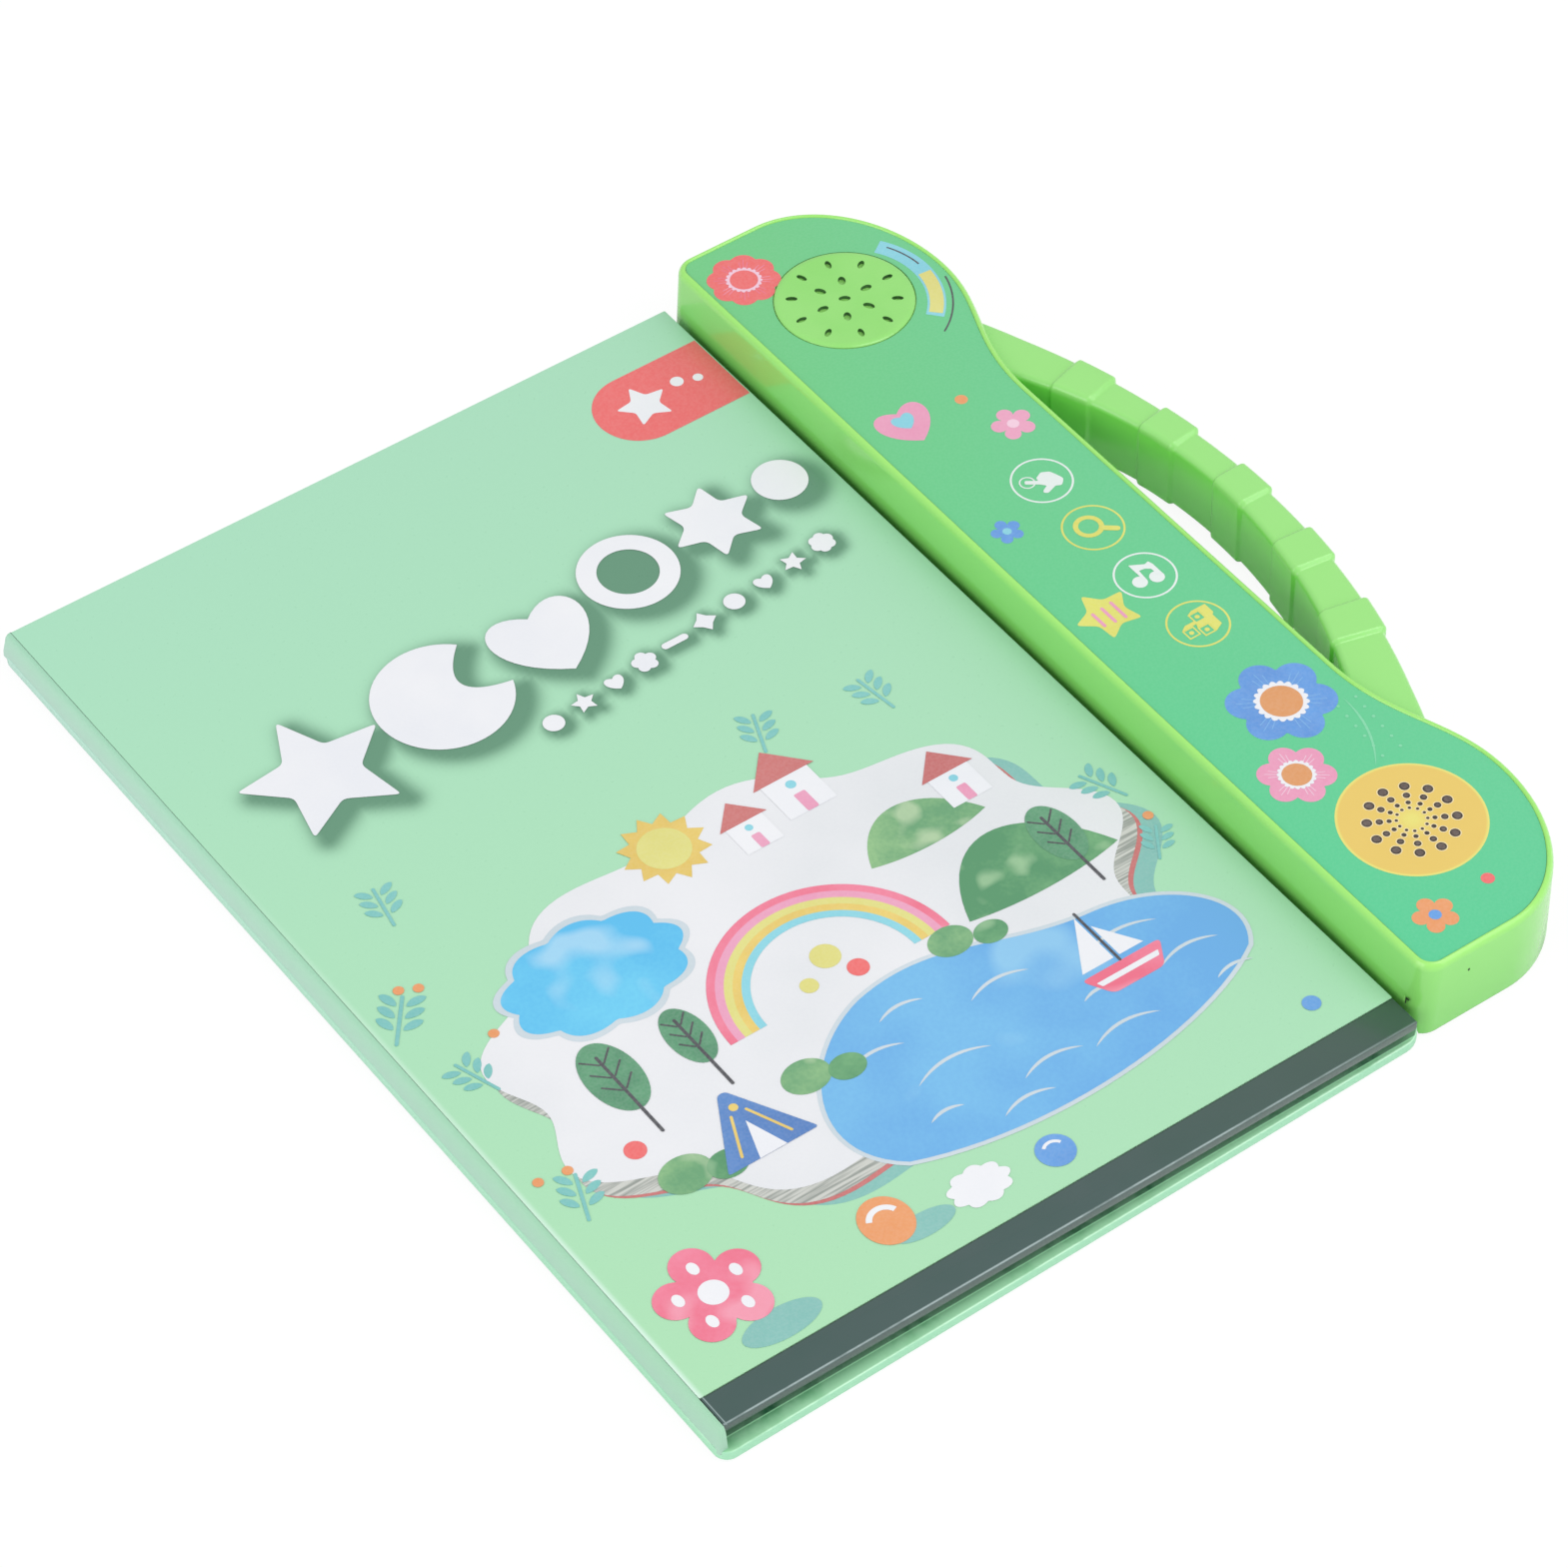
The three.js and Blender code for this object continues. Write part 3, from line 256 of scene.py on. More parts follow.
def back_paint():
    """Mint wrap of the back cover: a pale painted highlight along its upper edge, and painted
    shade that deepens inward to the thin light edge of the paper glued inside it and is
    nearly dark beyond that."""
    paint = mint_paint("mint_back", rgb(162, 220, 186), rgb(184, 222, 207), 0.4)
    axes, _ = paint.position()
    inward = paint.math("SUBTRACT", axes[1], (-OVERHANG - MID_Y) * MM)
    run = paint.times(paint.math("ADD", axes[0], MID_X * MM), LIP_SLOPE)
    from_lip = paint.math("SUBTRACT", paint.math("ADD", inward, LIP_LEFT * MM), run)
    # Painted shade: the top darkens inward under the front cover and is nearly dark beyond the
    # paper edge.
    depth = paint.ramp(from_lip, 0.8 * MM, 3.4 * MM)
    shelf = paint.mix(depth, rgb(142, 208, 158), rgb(84, 158, 108))
    beyond = paint.ramp(inward, PAPER_EDGE, PAPER_EDGE + 0.1 * MM)
    shelf = paint.mix(beyond, shelf, rgb(40, 104, 70))
    from_line = paint.away(inward, PAPER_EDGE)
    line = paint.fall(from_line, 0.08 * MM, 0.22 * MM)
    shelf = paint.mix(paint.times(line, 0.8), shelf, rgb(176, 250, 194))
    along = paint.ramp(axes[1], -DRIFT_END, DRIFT_END)
    face = paint.mix(along, rgb(162, 222, 184), rgb(182, 222, 206))
    in_front = paint.fall(inward, *STRIP_END)
    top = paint.ramp(axes[2], EDGE_HIGHLIGHT_HEIGHT - 0.04 * MM, EDGE_HIGHLIGHT_HEIGHT + 0.1 * MM)
    on_top = paint.times(top, in_front)
    tone = paint.mix(on_top, face, shelf)
    # Painted highlight along the rounded upper edge, broken up by noise, only on the strip in
    # front.
    bend = paint.away(axes[2], EDGE_HIGHLIGHT_HEIGHT)
    edge_highlight = paint.fall(bend, 0.04 * MM, 0.18 * MM)
    breaks = paint.ramp(paint.noise(120.0), 0.3, 0.5)
    edge_highlight = paint.times(edge_highlight, paint.times(breaks, in_front))
    paint.colour(paint.mix(paint.times(edge_highlight, 0.8), tone, rgb(206, 252, 218)))
    return paint.material


LEFT_CORNER, RIGHT_CORNER = 3.5, 6.0
back_ring = rounded_rect(
    -OVERHANG, BACK_EDGE, -OVERHANG, COVER_HEIGHT + OVERHANG, LEFT_CORNER, RIGHT_CORNER, 8
)
near_half = back_ring[:, 1] < MID_Y
back_ring[near_half, 1] += LIP_SLOPE * back_ring[near_half, 0] - LIP_LEFT
back_cover = board("back_cover_board", back_ring, 0, BACK_TOP, 0.4, 0.45, back_paint())
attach(back_cover, "back_and_housing")
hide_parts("back_cover")


def spine_paint():
    """Mint like the cover along its top, with painted shade turning it greyer where it bends to
    the table.
    """
    paint = Paint("mint_spine", 0.36, coat=0.2)
    axes, _ = paint.position()
    # Painted shade: lower down the wall the tones are greyer.
    rise = paint.ramp(axes[2], 3 * MM, 8.8 * MM)
    far = paint.ramp(axes[1], -120 * MM, 80 * MM)
    near_tone = paint.mix(rise, rgb(163, 204, 181), rgb(160, 210, 177))
    far_tone = paint.mix(rise, rgb(173, 209, 192), rgb(164, 215, 186))
    grain = paint.times(paint.ramp(paint.noise(900.0), 0.3, 0.7), 0.05)
    paint.colour(paint.mix(grain, paint.mix(far, near_tone, far_tone), rgb(120, 190, 160)))
    paint.bump(paint.noise(260.0, 4.0), 0.05)
    return paint.material


def spine_ring(outer, end_gap):
    """Outline of the spine wall at one height: its outer face and distance to the ends."""
    near, far = -OVERHANG + end_gap, COVER_HEIGHT + OVERHANG - end_gap
    return rounded_rect(outer, HINGE_X - 0.01, near, far, 0.5, 0.05)


# The wall slants in and rounds over: height, outer face and distance to the ends
SPINE_LEVELS = [
    (BACK_TOP - 1.0, -OVERHANG + 0.1, 0.6),
    (BACK_TOP + 0.4, -OVERHANG + 0.25, 0.5),
    (BOOK_TOP - 1.4, -0.95, 1.1),
    (BOOK_TOP - 0.5, -0.62, 1.5),
    (BOOK_TOP - 0.12, -0.35, 1.8),
    (BOOK_TOP - 0.03, -0.1, 1.9),
]
spine = loft("spine_board", [
    (z, spine_ring(outer, end_gap)) for z, outer, end_gap in SPINE_LEVELS
], spine_paint())
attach(spine, "back_and_housing")
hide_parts("spine_wall")

# Pages: one bound block of printed card, cut edges showing in the recess between
# the covers, tinted green by the print that runs off every page and darkened toward
# the top by painted shade under the front cover.
PAGE_SETBACK = 2.6
LEAF_THICKNESS = 0.48
PAGES_TOP = BOOK_TOP - BOARD - 0.05


def page_paint():
    """Cut card edges with fine horizontal leaf lines and painted shade that darkens them upward,
    and a plain pale first page.
    """
    paint = Paint("page_edges", 0.7)
    axes, _ = paint.position()
    leaf = paint.math("SINE", paint.times(axes[2], math.tau / (LEAF_THICKNESS * MM)))
    lines = paint.times(paint.ramp(leaf, 0.2, 1.0), 0.45)
    # Painted shade: the cut edges get darker toward the front cover above them.
    base = paint.mix(paint.ramp(axes[2], 3 * MM, 6.6 * MM), rgb(70, 140, 100), rgb(40, 104, 74))
    edges = paint.mix(lines, base, rgb(32, 92, 62))
    top = paint.ramp(axes[2], (PAGES_TOP - 0.04) * MM, (PAGES_TOP - 0.01) * MM)
    grain = paint.ramp(paint.noise(900.0), 0.3, 0.7)
    first_page = paint.mix(grain, rgb(222, 238, 226), rgb(216, 234, 222))
    paint.colour(paint.mix(top, edges, first_page))
    paint.bump(leaf, 0.3, 0.1 * MM)
    return paint.material


page_ring = rounded_rect(
    HINGE_X + 0.6, COVER_RIGHT - 0.6, PAGE_SETBACK, COVER_HEIGHT - PAGE_SETBACK, 0.6, 2.5
)
pages = board("page_leaves", page_ring, BACK_TOP + 0.4, PAGES_TOP, 0.05, 0.05, page_paint())
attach(pages, "back_and_housing")
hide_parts("page_block")

# Front cover: laminated board, hinged at the crease beside the spine wall. The mint
# print stops at a dark strip along the near edge, whose own edges carry a pale painted
# highlight.
BAND_WIDTH = 8.8
HEADING_SHADOW = (1.6, -3.2)     # how far the shadows lie from their white shapes
SMALL_SHADOW = (0.8, -1.4)
SMALL_QUICKER = 1.6
SHADOW_DEPTH = 0.8
SHADOW_REACH = 3.2


def circle(x, y, radius, steps=48, stretch=1.0, turn=0.0):
    """Ring of an ellipse: radius along its turned axis, radius times stretch across."""
    angle = np.linspace(0, 2 * math.pi, steps, endpoint=False)
    px, py = radius * np.cos(angle), stretch * radius * np.sin(angle)
    c, s = math.cos(turn), math.sin(turn)
    return np.column_stack([x + px * c - py * s, y + px * s + py * c])


def blob(x, y, radius_x, radius_y, waves, depth, steps):
    """Ring of an ellipse whose radius swells and sinks as a cosine, for the pale field."""
    angle = np.linspace(0, 2 * math.pi, steps, endpoint=False)
    swell = 1 + depth * np.cos(waves * angle)
    return np.column_stack([
        x + radius_x * swell * np.cos(angle), y + radius_y * swell * np.sin(angle),
    ])


def star(x, y, outer, inner, tips, turn=0.0):
    """Ring of a pointed star with the given number of tips."""
    angle = turn + np.arange(2 * tips) * math.pi / tips
    radius = np.where(np.arange(2 * tips) % 2, inner, outer)
    return np.column_stack([x + radius * np.cos(angle), y + radius * np.sin(angle)])


def bezier(points, steps=12):
    """Ring through cubic Bezier stretches; points are start, then triples."""
    points = np.array(points, float)
    t = np.linspace(0, 1, steps, endpoint=False)[:, None]
    u = 1 - t
    stretches = []
    for i in range(0, len(points) - 1, 3):
        start, a, b, end = points[i:i + 4]
        stretches.append(u**3 * start + 3 * u * u * t * a + 3 * u * t * t * b + t**3 * end)
    return np.concatenate(stretches)


def moon(x, y, radius):
    """Ring of a round shape with a soft bite at its right."""
    start, end = 0.25 * math.pi, 1.9 * math.pi
    angle = np.linspace(start, end, 56)
    arc = np.column_stack([x + radius * np.cos(angle), y + radius * np.sin(angle)])
    bend = np.array([x - 0.15 * radius, y - 0.1 * radius])
    t = np.linspace(0, 1, 24)[1:-1, None]
    bite = (1 - t) ** 2 * arc[-1] + 2 * t * (1 - t) * bend + t * t * arc[0]
    return np.concatenate([arc, bite])


def petals(x, y, distance, radius, count, turn=0.0, steps=144):
    """Ring round a flower: at each angle the reach of the nearest round petal."""
    angle = np.linspace(0, 2 * math.pi, steps, endpoint=False)
    pitch = 2 * math.pi / count
    off = (angle - turn + pitch / 2) % pitch - pitch / 2
    half = np.maximum(radius ** 2 - (distance * np.sin(off)) ** 2, 0)
    reach = distance * np.cos(off) + np.sqrt(half)
    return np.column_stack([x + reach * np.cos(angle), y + reach * np.sin(angle)])


def scallop(x, y, radius_x, radius_y, count, depth, steps=160):
    """Ring of a cloud: an ellipse with round bumps that meet in sharp notches."""
    angle = np.linspace(0, 2 * math.pi, steps, endpoint=False)
    swell = 1 - depth + depth * np.abs(np.cos(count * angle / 2))
    return np.column_stack([
        x + radius_x * swell * np.cos(angle), y + radius_y * swell * np.sin(angle),
    ])


def capsule(start, end, width, steps=8):
    """Ring round a straight stroke with round ends: a half circle, and its opposite."""
    start, end = np.array(start, float), np.array(end, float)
    turn = math.atan2(*(end - start)[::-1])
    angle = turn + np.linspace(-math.pi / 2, math.pi / 2, steps + 1)
    cap = width / 2 * np.column_stack([np.cos(angle), np.sin(angle)])
    return np.concatenate([end + cap, start - cap])


def brush(start, bend, end, width, steps=14):
    """Ring of a curved stroke that thins out at both ends."""
    start, bend, end = (np.array(p, float) for p in (start, bend, end))
    t = np.linspace(0, 1, steps)[:, None]
    line = (1 - t) ** 2 * start + 2 * t * (1 - t) * bend + t * t * end
    along = np.gradient(line, axis=0)
    along /= np.linalg.norm(along, axis=1, keepdims=True)
    side = np.column_stack([-along[:, 1], along[:, 0]])
    half = width / 2 * np.sin(math.pi * t) ** 0.6
    return np.concatenate([line - side * half, (line + side * half)[-2:0:-1]])


def arch(x, y, outer, inner, start, end, steps=60):
    """Ring of a part of a round band between two angles."""
    angle = np.linspace(start, end, steps)[:, None]
    out = np.hstack([np.cos(angle), np.sin(angle)])
    return np.concatenate([(x, y) + outer * out, (x, y) + inner * out[::-1]])


def heart(x, y, size):
    """Ring of a heart with its point down."""
    return bezier([
        (x, y - size),
        (x + 1.5 * size, y - 0.1 * size), (x + 0.9 * size, y + 1.2 * size),
        (x, y + 0.45 * size),
        (x - 0.9 * size, y + 1.2 * size), (x - 1.5 * size, y - 0.1 * size),
        (x, y - size),
    ], 20)


def soften(ring, radius, steps=5):
    """Rounds every corner of a ring: cuts it back by the radius, or by 0.45 of a shorter
    side, and bends a parabola over the gap."""
    back = np.roll(ring, 1, axis=0) - ring
    ahead = np.roll(ring, -1, axis=0) - ring
    back_length = np.linalg.norm(back, axis=1, keepdims=True)
    ahead_length = np.linalg.norm(ahead, axis=1, keepdims=True)
    a = ring + back / back_length * np.minimum(radius, 0.45 * back_length)
    b = ring + ahead / ahead_length * np.minimum(radius, 0.45 * ahead_length)
    t = np.linspace(0, 1, steps)[:, None]
    bends = (1 - t) ** 2 * a[:, None] + 2 * t * (1 - t) * ring[:, None] + t * t * b[:, None]
    return bends.reshape(-1, 2)


COVER_UNIT = np.array([COVER_RIGHT / 65, COVER_HEIGHT / 100])


def on_cover(ring):
    """Stretches a ring from the picture's grid of 65 by 100 over the cover."""
    return ring * COVER_UNIT


# White heading shapes, each an outline and any hole in it
MARKS = [
    [soften(star(11.8, 71.6, 6.9, 3.3, 5, 0.3), 0.5)],
    [moon(24.3, 73, 5.9)],
    [heart(34.7, 74, 4.8)],
    [circle(44.4, 75.8, 4.3, 64), circle(44.4, 75.8, 2.6)[::-1]],
    [soften(star(53.4, 76.5, 4.3, 2.4, 6, 0.2), 0.5)],
    [circle(60.7, 77.2, 2.4)],
]
HEADING = [[on_cover(ring) for ring in rings] for rings in MARKS]

# Smaller white shapes in a rising row under them
SMALL_START = np.array([86, 188.5])
SMALL_STEP = np.array([9.4, 1.25])
SMALL_SIZE = 3.3
SMALL_ROW = [
    shape(*(SMALL_START + i * SMALL_STEP), SMALL_SIZE)
    for i, shape in enumerate([
        lambda x, y, r: circle(x, y, 0.8 * r, 32),
        lambda x, y, r: star(x, y, r, 0.5 * r, 5, 0.3),
        lambda x, y, r: heart(x, y, 0.8 * r),
        lambda x, y, r: petals(x, y, 0.55 * r, 0.45 * r, 5, 0.3, 60),
        lambda x, y, r: capsule((x - 0.8 * r, y), (x + 0.8 * r, y), 0.6 * r),
        lambda x, y, r: star(x, y, r, 0.6 * r, 4, 0.0),
        lambda x, y, r: circle(x, y, 0.8 * r, 32),
        lambda x, y, r: heart(x, y, 0.8 * r),
        lambda x, y, r: star(x, y, r, 0.5 * r, 5, 1.0),
        lambda x, y, r: petals(x, y, 0.55 * r, 0.45 * r, 6, 0.3, 60),
    ])
]


def distance_to(ring, points):
    """Shortest distance of each point to the ring's edges, zero inside it."""
    best = np.full(len(points), 1e9)
    inside = np.zeros(len(points), bool)
    for a, b in zip(ring, np.roll(ring, -1, axis=0)):
        edge = b - a
        t = np.clip(((points - a) @ edge) / max(edge @ edge, 1e-9), 0, 1)
        best = np.minimum(best, np.linalg.norm(points - a - t[:, None] * edge, axis=1))
        crosses = (a[1] > points[:, 1]) != (b[1] > points[:, 1])
        with np.errstate(divide="ignore", invalid="ignore"):
            at = a[0] + (points[:, 1] - a[1]) * edge[0] / edge[1]
        inside ^= crosses & (points[:, 0] < at)
    return np.where(inside, 0.0, best)


def cover_paint():
    """Mint print with a soft dark cast below the heading, and a pale painted highlight along the
    crease.
    """
    paint = mint_paint("mint_print", rgb(172, 228, 186), rgb(176, 230, 202), 0.3)
    shadow = paint.node("Attribute", attribute_name="heading_shadow").outputs["Fac"]
    axes, _ = paint.position()
    drift = paint.mix(
        paint.ramp(axes[1], -140 * MM, 140 * MM), rgb(174, 226, 182), rgb(171, 226, 194)
    )
    slope = paint.times(paint.ramp(axes[0], -129 * MM, 60 * MM), 0.6)
    drift = paint.mix(slope, drift, rgb(168, 221, 187))
    grain = paint.times(paint.ramp(paint.noise(1200.0), 0.3, 0.7), 0.03)
    base = paint.mix(grain, drift, rgb(120, 190, 150))
    dark = paint.mix(shadow, base, rgb(64, 120, 92))
    # Painted highlight: a pale line along the crease, fading toward the top of the cover.
    crease = paint.fall(axes[0], -128.3 * MM, -127.2 * MM)
    lower = paint.fall(axes[1], -120 * MM, 60 * MM)
    paint.colour(paint.mix(paint.times(crease, lower), dark, rgb(214, 244, 226)))
    return paint.material


def cover_sheet():
    """Top of the cover as a grid that carries the heading's soft shadow: it fades as a
    bell curve of the distance to the shifted shapes, quicker round the small ones."""
    columns, rows = 150, 226
    x = np.linspace(HINGE_X + 0.06, COVER_RIGHT - 0.25, columns)
    y = np.linspace(BAND_WIDTH + 0.1, COVER_HEIGHT - 0.25, rows)
    grid = np.stack(np.meshgrid(x, y), axis=2).reshape(-1, 2)
    gaps = [distance_to(rings[0] + HEADING_SHADOW, grid) for rings in HEADING]
    gaps += [SMALL_QUICKER * distance_to(ring + SMALL_SHADOW, grid) for ring in SMALL_ROW]
    gap = np.min(gaps, axis=0)
    verts = np.column_stack([grid, np.full(len(grid), BOOK_TOP)])
    faces = grid_faces(rows, columns, closed=False)
    sheet = make_mesh("cover_print_sheet", verts, faces, COVER_PAINT)
    layer = sheet.data.attributes.new("heading_shadow", "FLOAT", "POINT")
    layer.data.foreach_set("value", SHADOW_DEPTH * np.exp(-(gap / SHADOW_REACH) ** 2))
    return sheet


COVER_PAINT = cover_paint()
cover_ring = rounded_rect(HINGE_X, COVER_RIGHT, BAND_WIDTH, COVER_HEIGHT, 0.3, 0.3, 3)
front = board(
    "front_cover_board", cover_ring, BOOK_TOP - BOARD, BOOK_TOP - 0.02, 0.1, 0.06, COVER_PAINT
)
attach(front, "front_cover_board")
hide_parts("front_cover")
sheet = cover_sheet()
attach(sheet, "front_cover_board")


def band_paint():
    """Dark green-grey laminate with a pale painted highlight on two edges, painted light making
    its side greyer, and a line of painted shade at the seam.
    """
    paint = Paint("dark_band", 0.3, coat=0.3)
    axes, _ = paint.position()
    left = (HINGE_X - MID_X) * MM
    low = -MID_Y * MM
    # Painted highlight: a pale line along the near and left top edges, broken up and fading to the
    # right.
    from_low = paint.away(axes[1], low + 0.3 * MM)
    from_left = paint.away(axes[0], left + 0.8 * MM)
    near = paint.math("MINIMUM", from_low, paint.times(from_left, 1.4))
    on_top = paint.ramp(axes[2], (BOOK_TOP - 0.5) * MM, (BOOK_TOP - 0.3) * MM)
    line = paint.fall(near, 0.08 * MM, 0.3 * MM)
    breaks = paint.ramp(paint.noise(90.0), 0.25, 0.5)
    line = paint.times(paint.times(line, on_top), breaks)
    fade = paint.times(paint.ramp(axes[0], 10 * MM, 50 * MM), 0.7)
    line = paint.times(line, paint.math("SUBTRACT", 1.0, fade))
    # Painted light: the board's side below the top is a paler grey.
    below = paint.ramp(axes[2], (BOOK_TOP - 0.6) * MM, (BOOK_TOP - 0.4) * MM)
    far = low + BAND_WIDTH * MM
    # Painted shade: a dark line along the seam with the mint board.
    seam = paint.ramp(axes[1], far - 0.5 * MM, far - 0.2 * MM)
    cloud = paint.ramp(paint.noise(40.0), 0.35, 0.65)
    right = paint.ramp(axes[0], -30 * MM, 58 * MM)
    body = paint.mix(cloud, rgb(60, 86, 82), rgb(66, 88, 86))
    body = paint.mix(paint.times(right, 0.7), body, rgb(60, 86, 74))
    body = paint.mix(below, rgb(72, 90, 86), body)
    body = paint.mix(seam, body, rgb(16, 52, 34))
    paint.colour(paint.mix(paint.times(line, 0.8), body, rgb(172, 190, 190)))
    paint.bump(line, 0.4, 0.1 * MM)
    return paint.material


band_ring = rounded_rect(HINGE_X, COVER_RIGHT, 0, BAND_WIDTH - 0.05, 0.3, 0.3, 3)
band = board(
    "cover_dark_strip", band_ring, BOOK_TOP - BOARD, BOOK_TOP - 0.1, 0.1, 0.3, band_paint()
)
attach(band, "front_cover_board")
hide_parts("cover_band")

# Cover picture: flat fields of printed ink on the front cover. Each field is a thin
# skin of its own colour with print grain, laid in layers from the ground upward.
LAYER = 0.02                     # height from one layer of ink to the next
NO_AREA = 1e-9                   # a triangle this small is left out


def ink_paint(name, light, dark=None, spread=30.0, rough=0.3):
    """Printed ink: two close tones in slow clouds with a fine halftone grain."""
    paint = Paint(name, rough, coat=0.25)
    dark = dark or tuple(0.86 * part for part in light[:3]) + (1.0,)
    cloud = paint.ramp(paint.noise(spread, 3.0), 0.35, 0.65)
    tone = paint.mix(cloud, light, dark)
    grain = paint.times(paint.ramp(paint.noise(1500.0, 2.0), 0.35, 0.65), 0.05)
    paint.colour(paint.mix(grain, tone, (1.0, 1.0, 1.0, 1.0)))
    paint.gloss(paint.math("ADD", grain, rough))
    return paint.material


def skin(name, islands, z, material):
    """Flat piece of separate islands, each an outline followed by any holes in it. It is
    cut into triangles, and those that would face down are turned over."""
    points = np.concatenate([ring for rings in islands for ring in rings])
    faces = []
    start = 0
    for rings in islands:
        corners = np.array(tessellate_polygon([[Vector((*p, 0)) for p in r] for r in rings]))
        corners += start
        start += sum(len(ring) for ring in rings)
        side_b = points[corners[:, 1]] - points[corners[:, 0]]
        side_c = points[corners[:, 2]] - points[corners[:, 0]]
        area = side_b[:, 0] * side_c[:, 1] - side_b[:, 1] * side_c[:, 0]
        corners[area < 0] = corners[area < 0][:, [0, 2, 1]]
        faces.append(corners[np.abs(area) > NO_AREA])
    verts = np.column_stack([points, np.full(len(points), z)])
    return make_mesh(name, verts, np.concatenate(faces), material)


def cover_ink(name, islands, layer, material, *nodes):
    """A skin on the cover that stands for the named solids."""
    made = skin(name, islands, BOOK_TOP + LAYER * (1 + layer), material)
    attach(made, "front_cover_board")
    if nodes:
        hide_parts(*nodes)
    return made


def page_grey():
    """Grey of printed page edges: long irregular dark hatches on a warm grey."""
    paint = Paint("ink_page_grey", 0.32, coat=0.25)
    _, where = paint.position()
    stretch = paint.node("Mapping", {"Vector": where, "Scale": (60, 1400, 1)})
    hatch = paint.node("TexNoise", {"Vector": stretch.outputs[0], "Scale": 1.0, "Detail": 3.0})
    lines = paint.ramp(hatch.outputs[0], 0.42, 0.62)
    paint.colour(paint.mix(lines, rgb(206, 208, 202), rgb(150, 156, 150)))
    return paint.material


def painted(name, light, dark, pale, spread):
    """Brushed gouache: a soft cloud of three tones with a speckled edge."""
    paint = Paint(name, 0.3, coat=0.25)
    cloud = paint.ramp(paint.noise(spread, 2.0), 0.35, 0.65)
    speck = paint.ramp(paint.noise(900.0, 2.0), 0.35, 0.65)
    mask = paint.math("ADD", cloud, paint.times(speck, 0.25), clamp=True)
    tone = paint.mix(mask, light, dark)
    glow = paint.ramp(paint.noise(1.7 * spread, 1.0), 0.6, 0.72)
    paint.colour(paint.mix(paint.times(glow, 0.6), tone, pale))
    return paint.material


WHITE = ink_paint("ink_white", rgb(240, 241, 245), rgb(234, 236, 242))
FIELD = ink_paint("ink_field", rgb(235, 236, 240), rgb(224, 227, 231), 14.0)
GREY = page_grey()
RED = ink_paint("ink_red", rgb(240, 110, 110), rgb(236, 104, 104))
BRICK = ink_paint("ink_brick", rgb(206, 118, 116), rgb(196, 108, 108))
TEAL = ink_paint("ink_teal", rgb(134, 194, 186), rgb(128, 188, 180))
WATER = painted("ink_water", rgb(120, 190, 236), rgb(104, 172, 230), rgb(160, 214, 242), 26)
SKY = painted("ink_sky", rgb(112, 208, 244), rgb(90, 190, 238), rgb(190, 226, 246), 34)
LEAF = painted("ink_leaf", rgb(120, 178, 126), rgb(86, 150, 106), rgb(176, 214, 170), 60)
MOSS = painted("ink_moss", rgb(150, 196, 140), rgb(106, 164, 118), rgb(200, 222, 184), 60)
FOREST = ink_paint("ink_forest", rgb(96, 160, 120), rgb(82, 144, 108), 120.0)
PINK = painted("ink_pink", rgb(242, 138, 164), rgb(236, 112, 138), rgb(246, 176, 196), 40)
ROSE = ink_paint("ink_rose", rgb(236, 164, 194), rgb(232, 150, 184))
YELLOW = ink_paint("ink_yellow", rgb(236, 208, 112), rgb(226, 194, 98), 50.0)
LEMON = ink_paint("ink_lemon", rgb(226, 222, 134), rgb(220, 214, 122))
ORANGE = ink_paint("ink_orange", rgb(236, 160, 104), rgb(230, 148, 92))
BLUE = ink_paint("ink_blue", rgb(104, 164, 228), rgb(92, 150, 218), 60.0)
NAVY = ink_paint("ink_navy", rgb(92, 140, 204), rgb(80, 126, 192), 80.0)
AQUA = ink_paint("ink_aqua", rgb(140, 214, 228), rgb(130, 206, 222))
SPRIG = ink_paint("ink_sprig", rgb(128, 200, 196), rgb(116, 190, 186))
CHARCOAL = ink_paint("ink_charcoal", rgb(78, 78, 84), rgb(66, 66, 72))

for i, rings in enumerate(HEADING):
    cover_ink(f"print_mark_{i + 1}_ink", [rings], 6, WHITE, f"print_mark_{i + 1}")
cover_ink("small_row_ink", [[ring] for ring in SMALL_ROW], 6, WHITE)

# Tag with a round left end, and a plain star in it
TAG_MIDDLE, TAG_RADIUS, TAG_CENTRE, TAG_RIGHT = 91.35, 4.05, 56.4, 64.88
ARC_POINTS = 60
tag_band = arch(TAG_CENTRE, TAG_MIDDLE, TAG_RADIUS, 0, math.pi / 2, 1.5 * math.pi, ARC_POINTS)
tag_arc = tag_band[:ARC_POINTS]  # the band's outer half
tag_right = [(TAG_RIGHT, TAG_MIDDLE - TAG_RADIUS), (TAG_RIGHT, TAG_MIDDLE + TAG_RADIUS)]
tag_ring = on_cover(np.concatenate([tag_arc, tag_right]))
cover_ink("tag_ink", [[tag_ring]], 1, RED, "print_tag")
tag_x, tag_y = TAG_CENTRE * COVER_UNIT[0], TAG_MIDDLE * COVER_UNIT[1]
cover_ink("tag_star_ink", [
    [soften(star(tag_x + 1.5, tag_y, 7.2, 3.6, 5, 0.3), 0.8)],
    [circle(tag_x + 12.5, tag_y + 2.2, 1.7, 28)],
    [circle(tag_x + 17.5, tag_y + 0.4, 1.3, 28)],
], 2, WHITE)

# The pale field lies on its own shadow, a red line and a grey edge
FIELD_RING = blob(31.9, 31.8, 27.1, 18.7, 9, 0.06, 220)
for name, shift, layer, ink in (
    ("field_shadow", (1.6, -3.0), 0, TEAL),
    ("field_line", (0.3, -2.1), 1, BRICK),
    ("field_edge", (0.1, -1.7), 2, GREY),
):
    cover_ink(name, [[on_cover(FIELD_RING + shift)]], layer, ink)
cover_ink("field_ink", [[on_cover(FIELD_RING)]], 3, FIELD, "print_field")

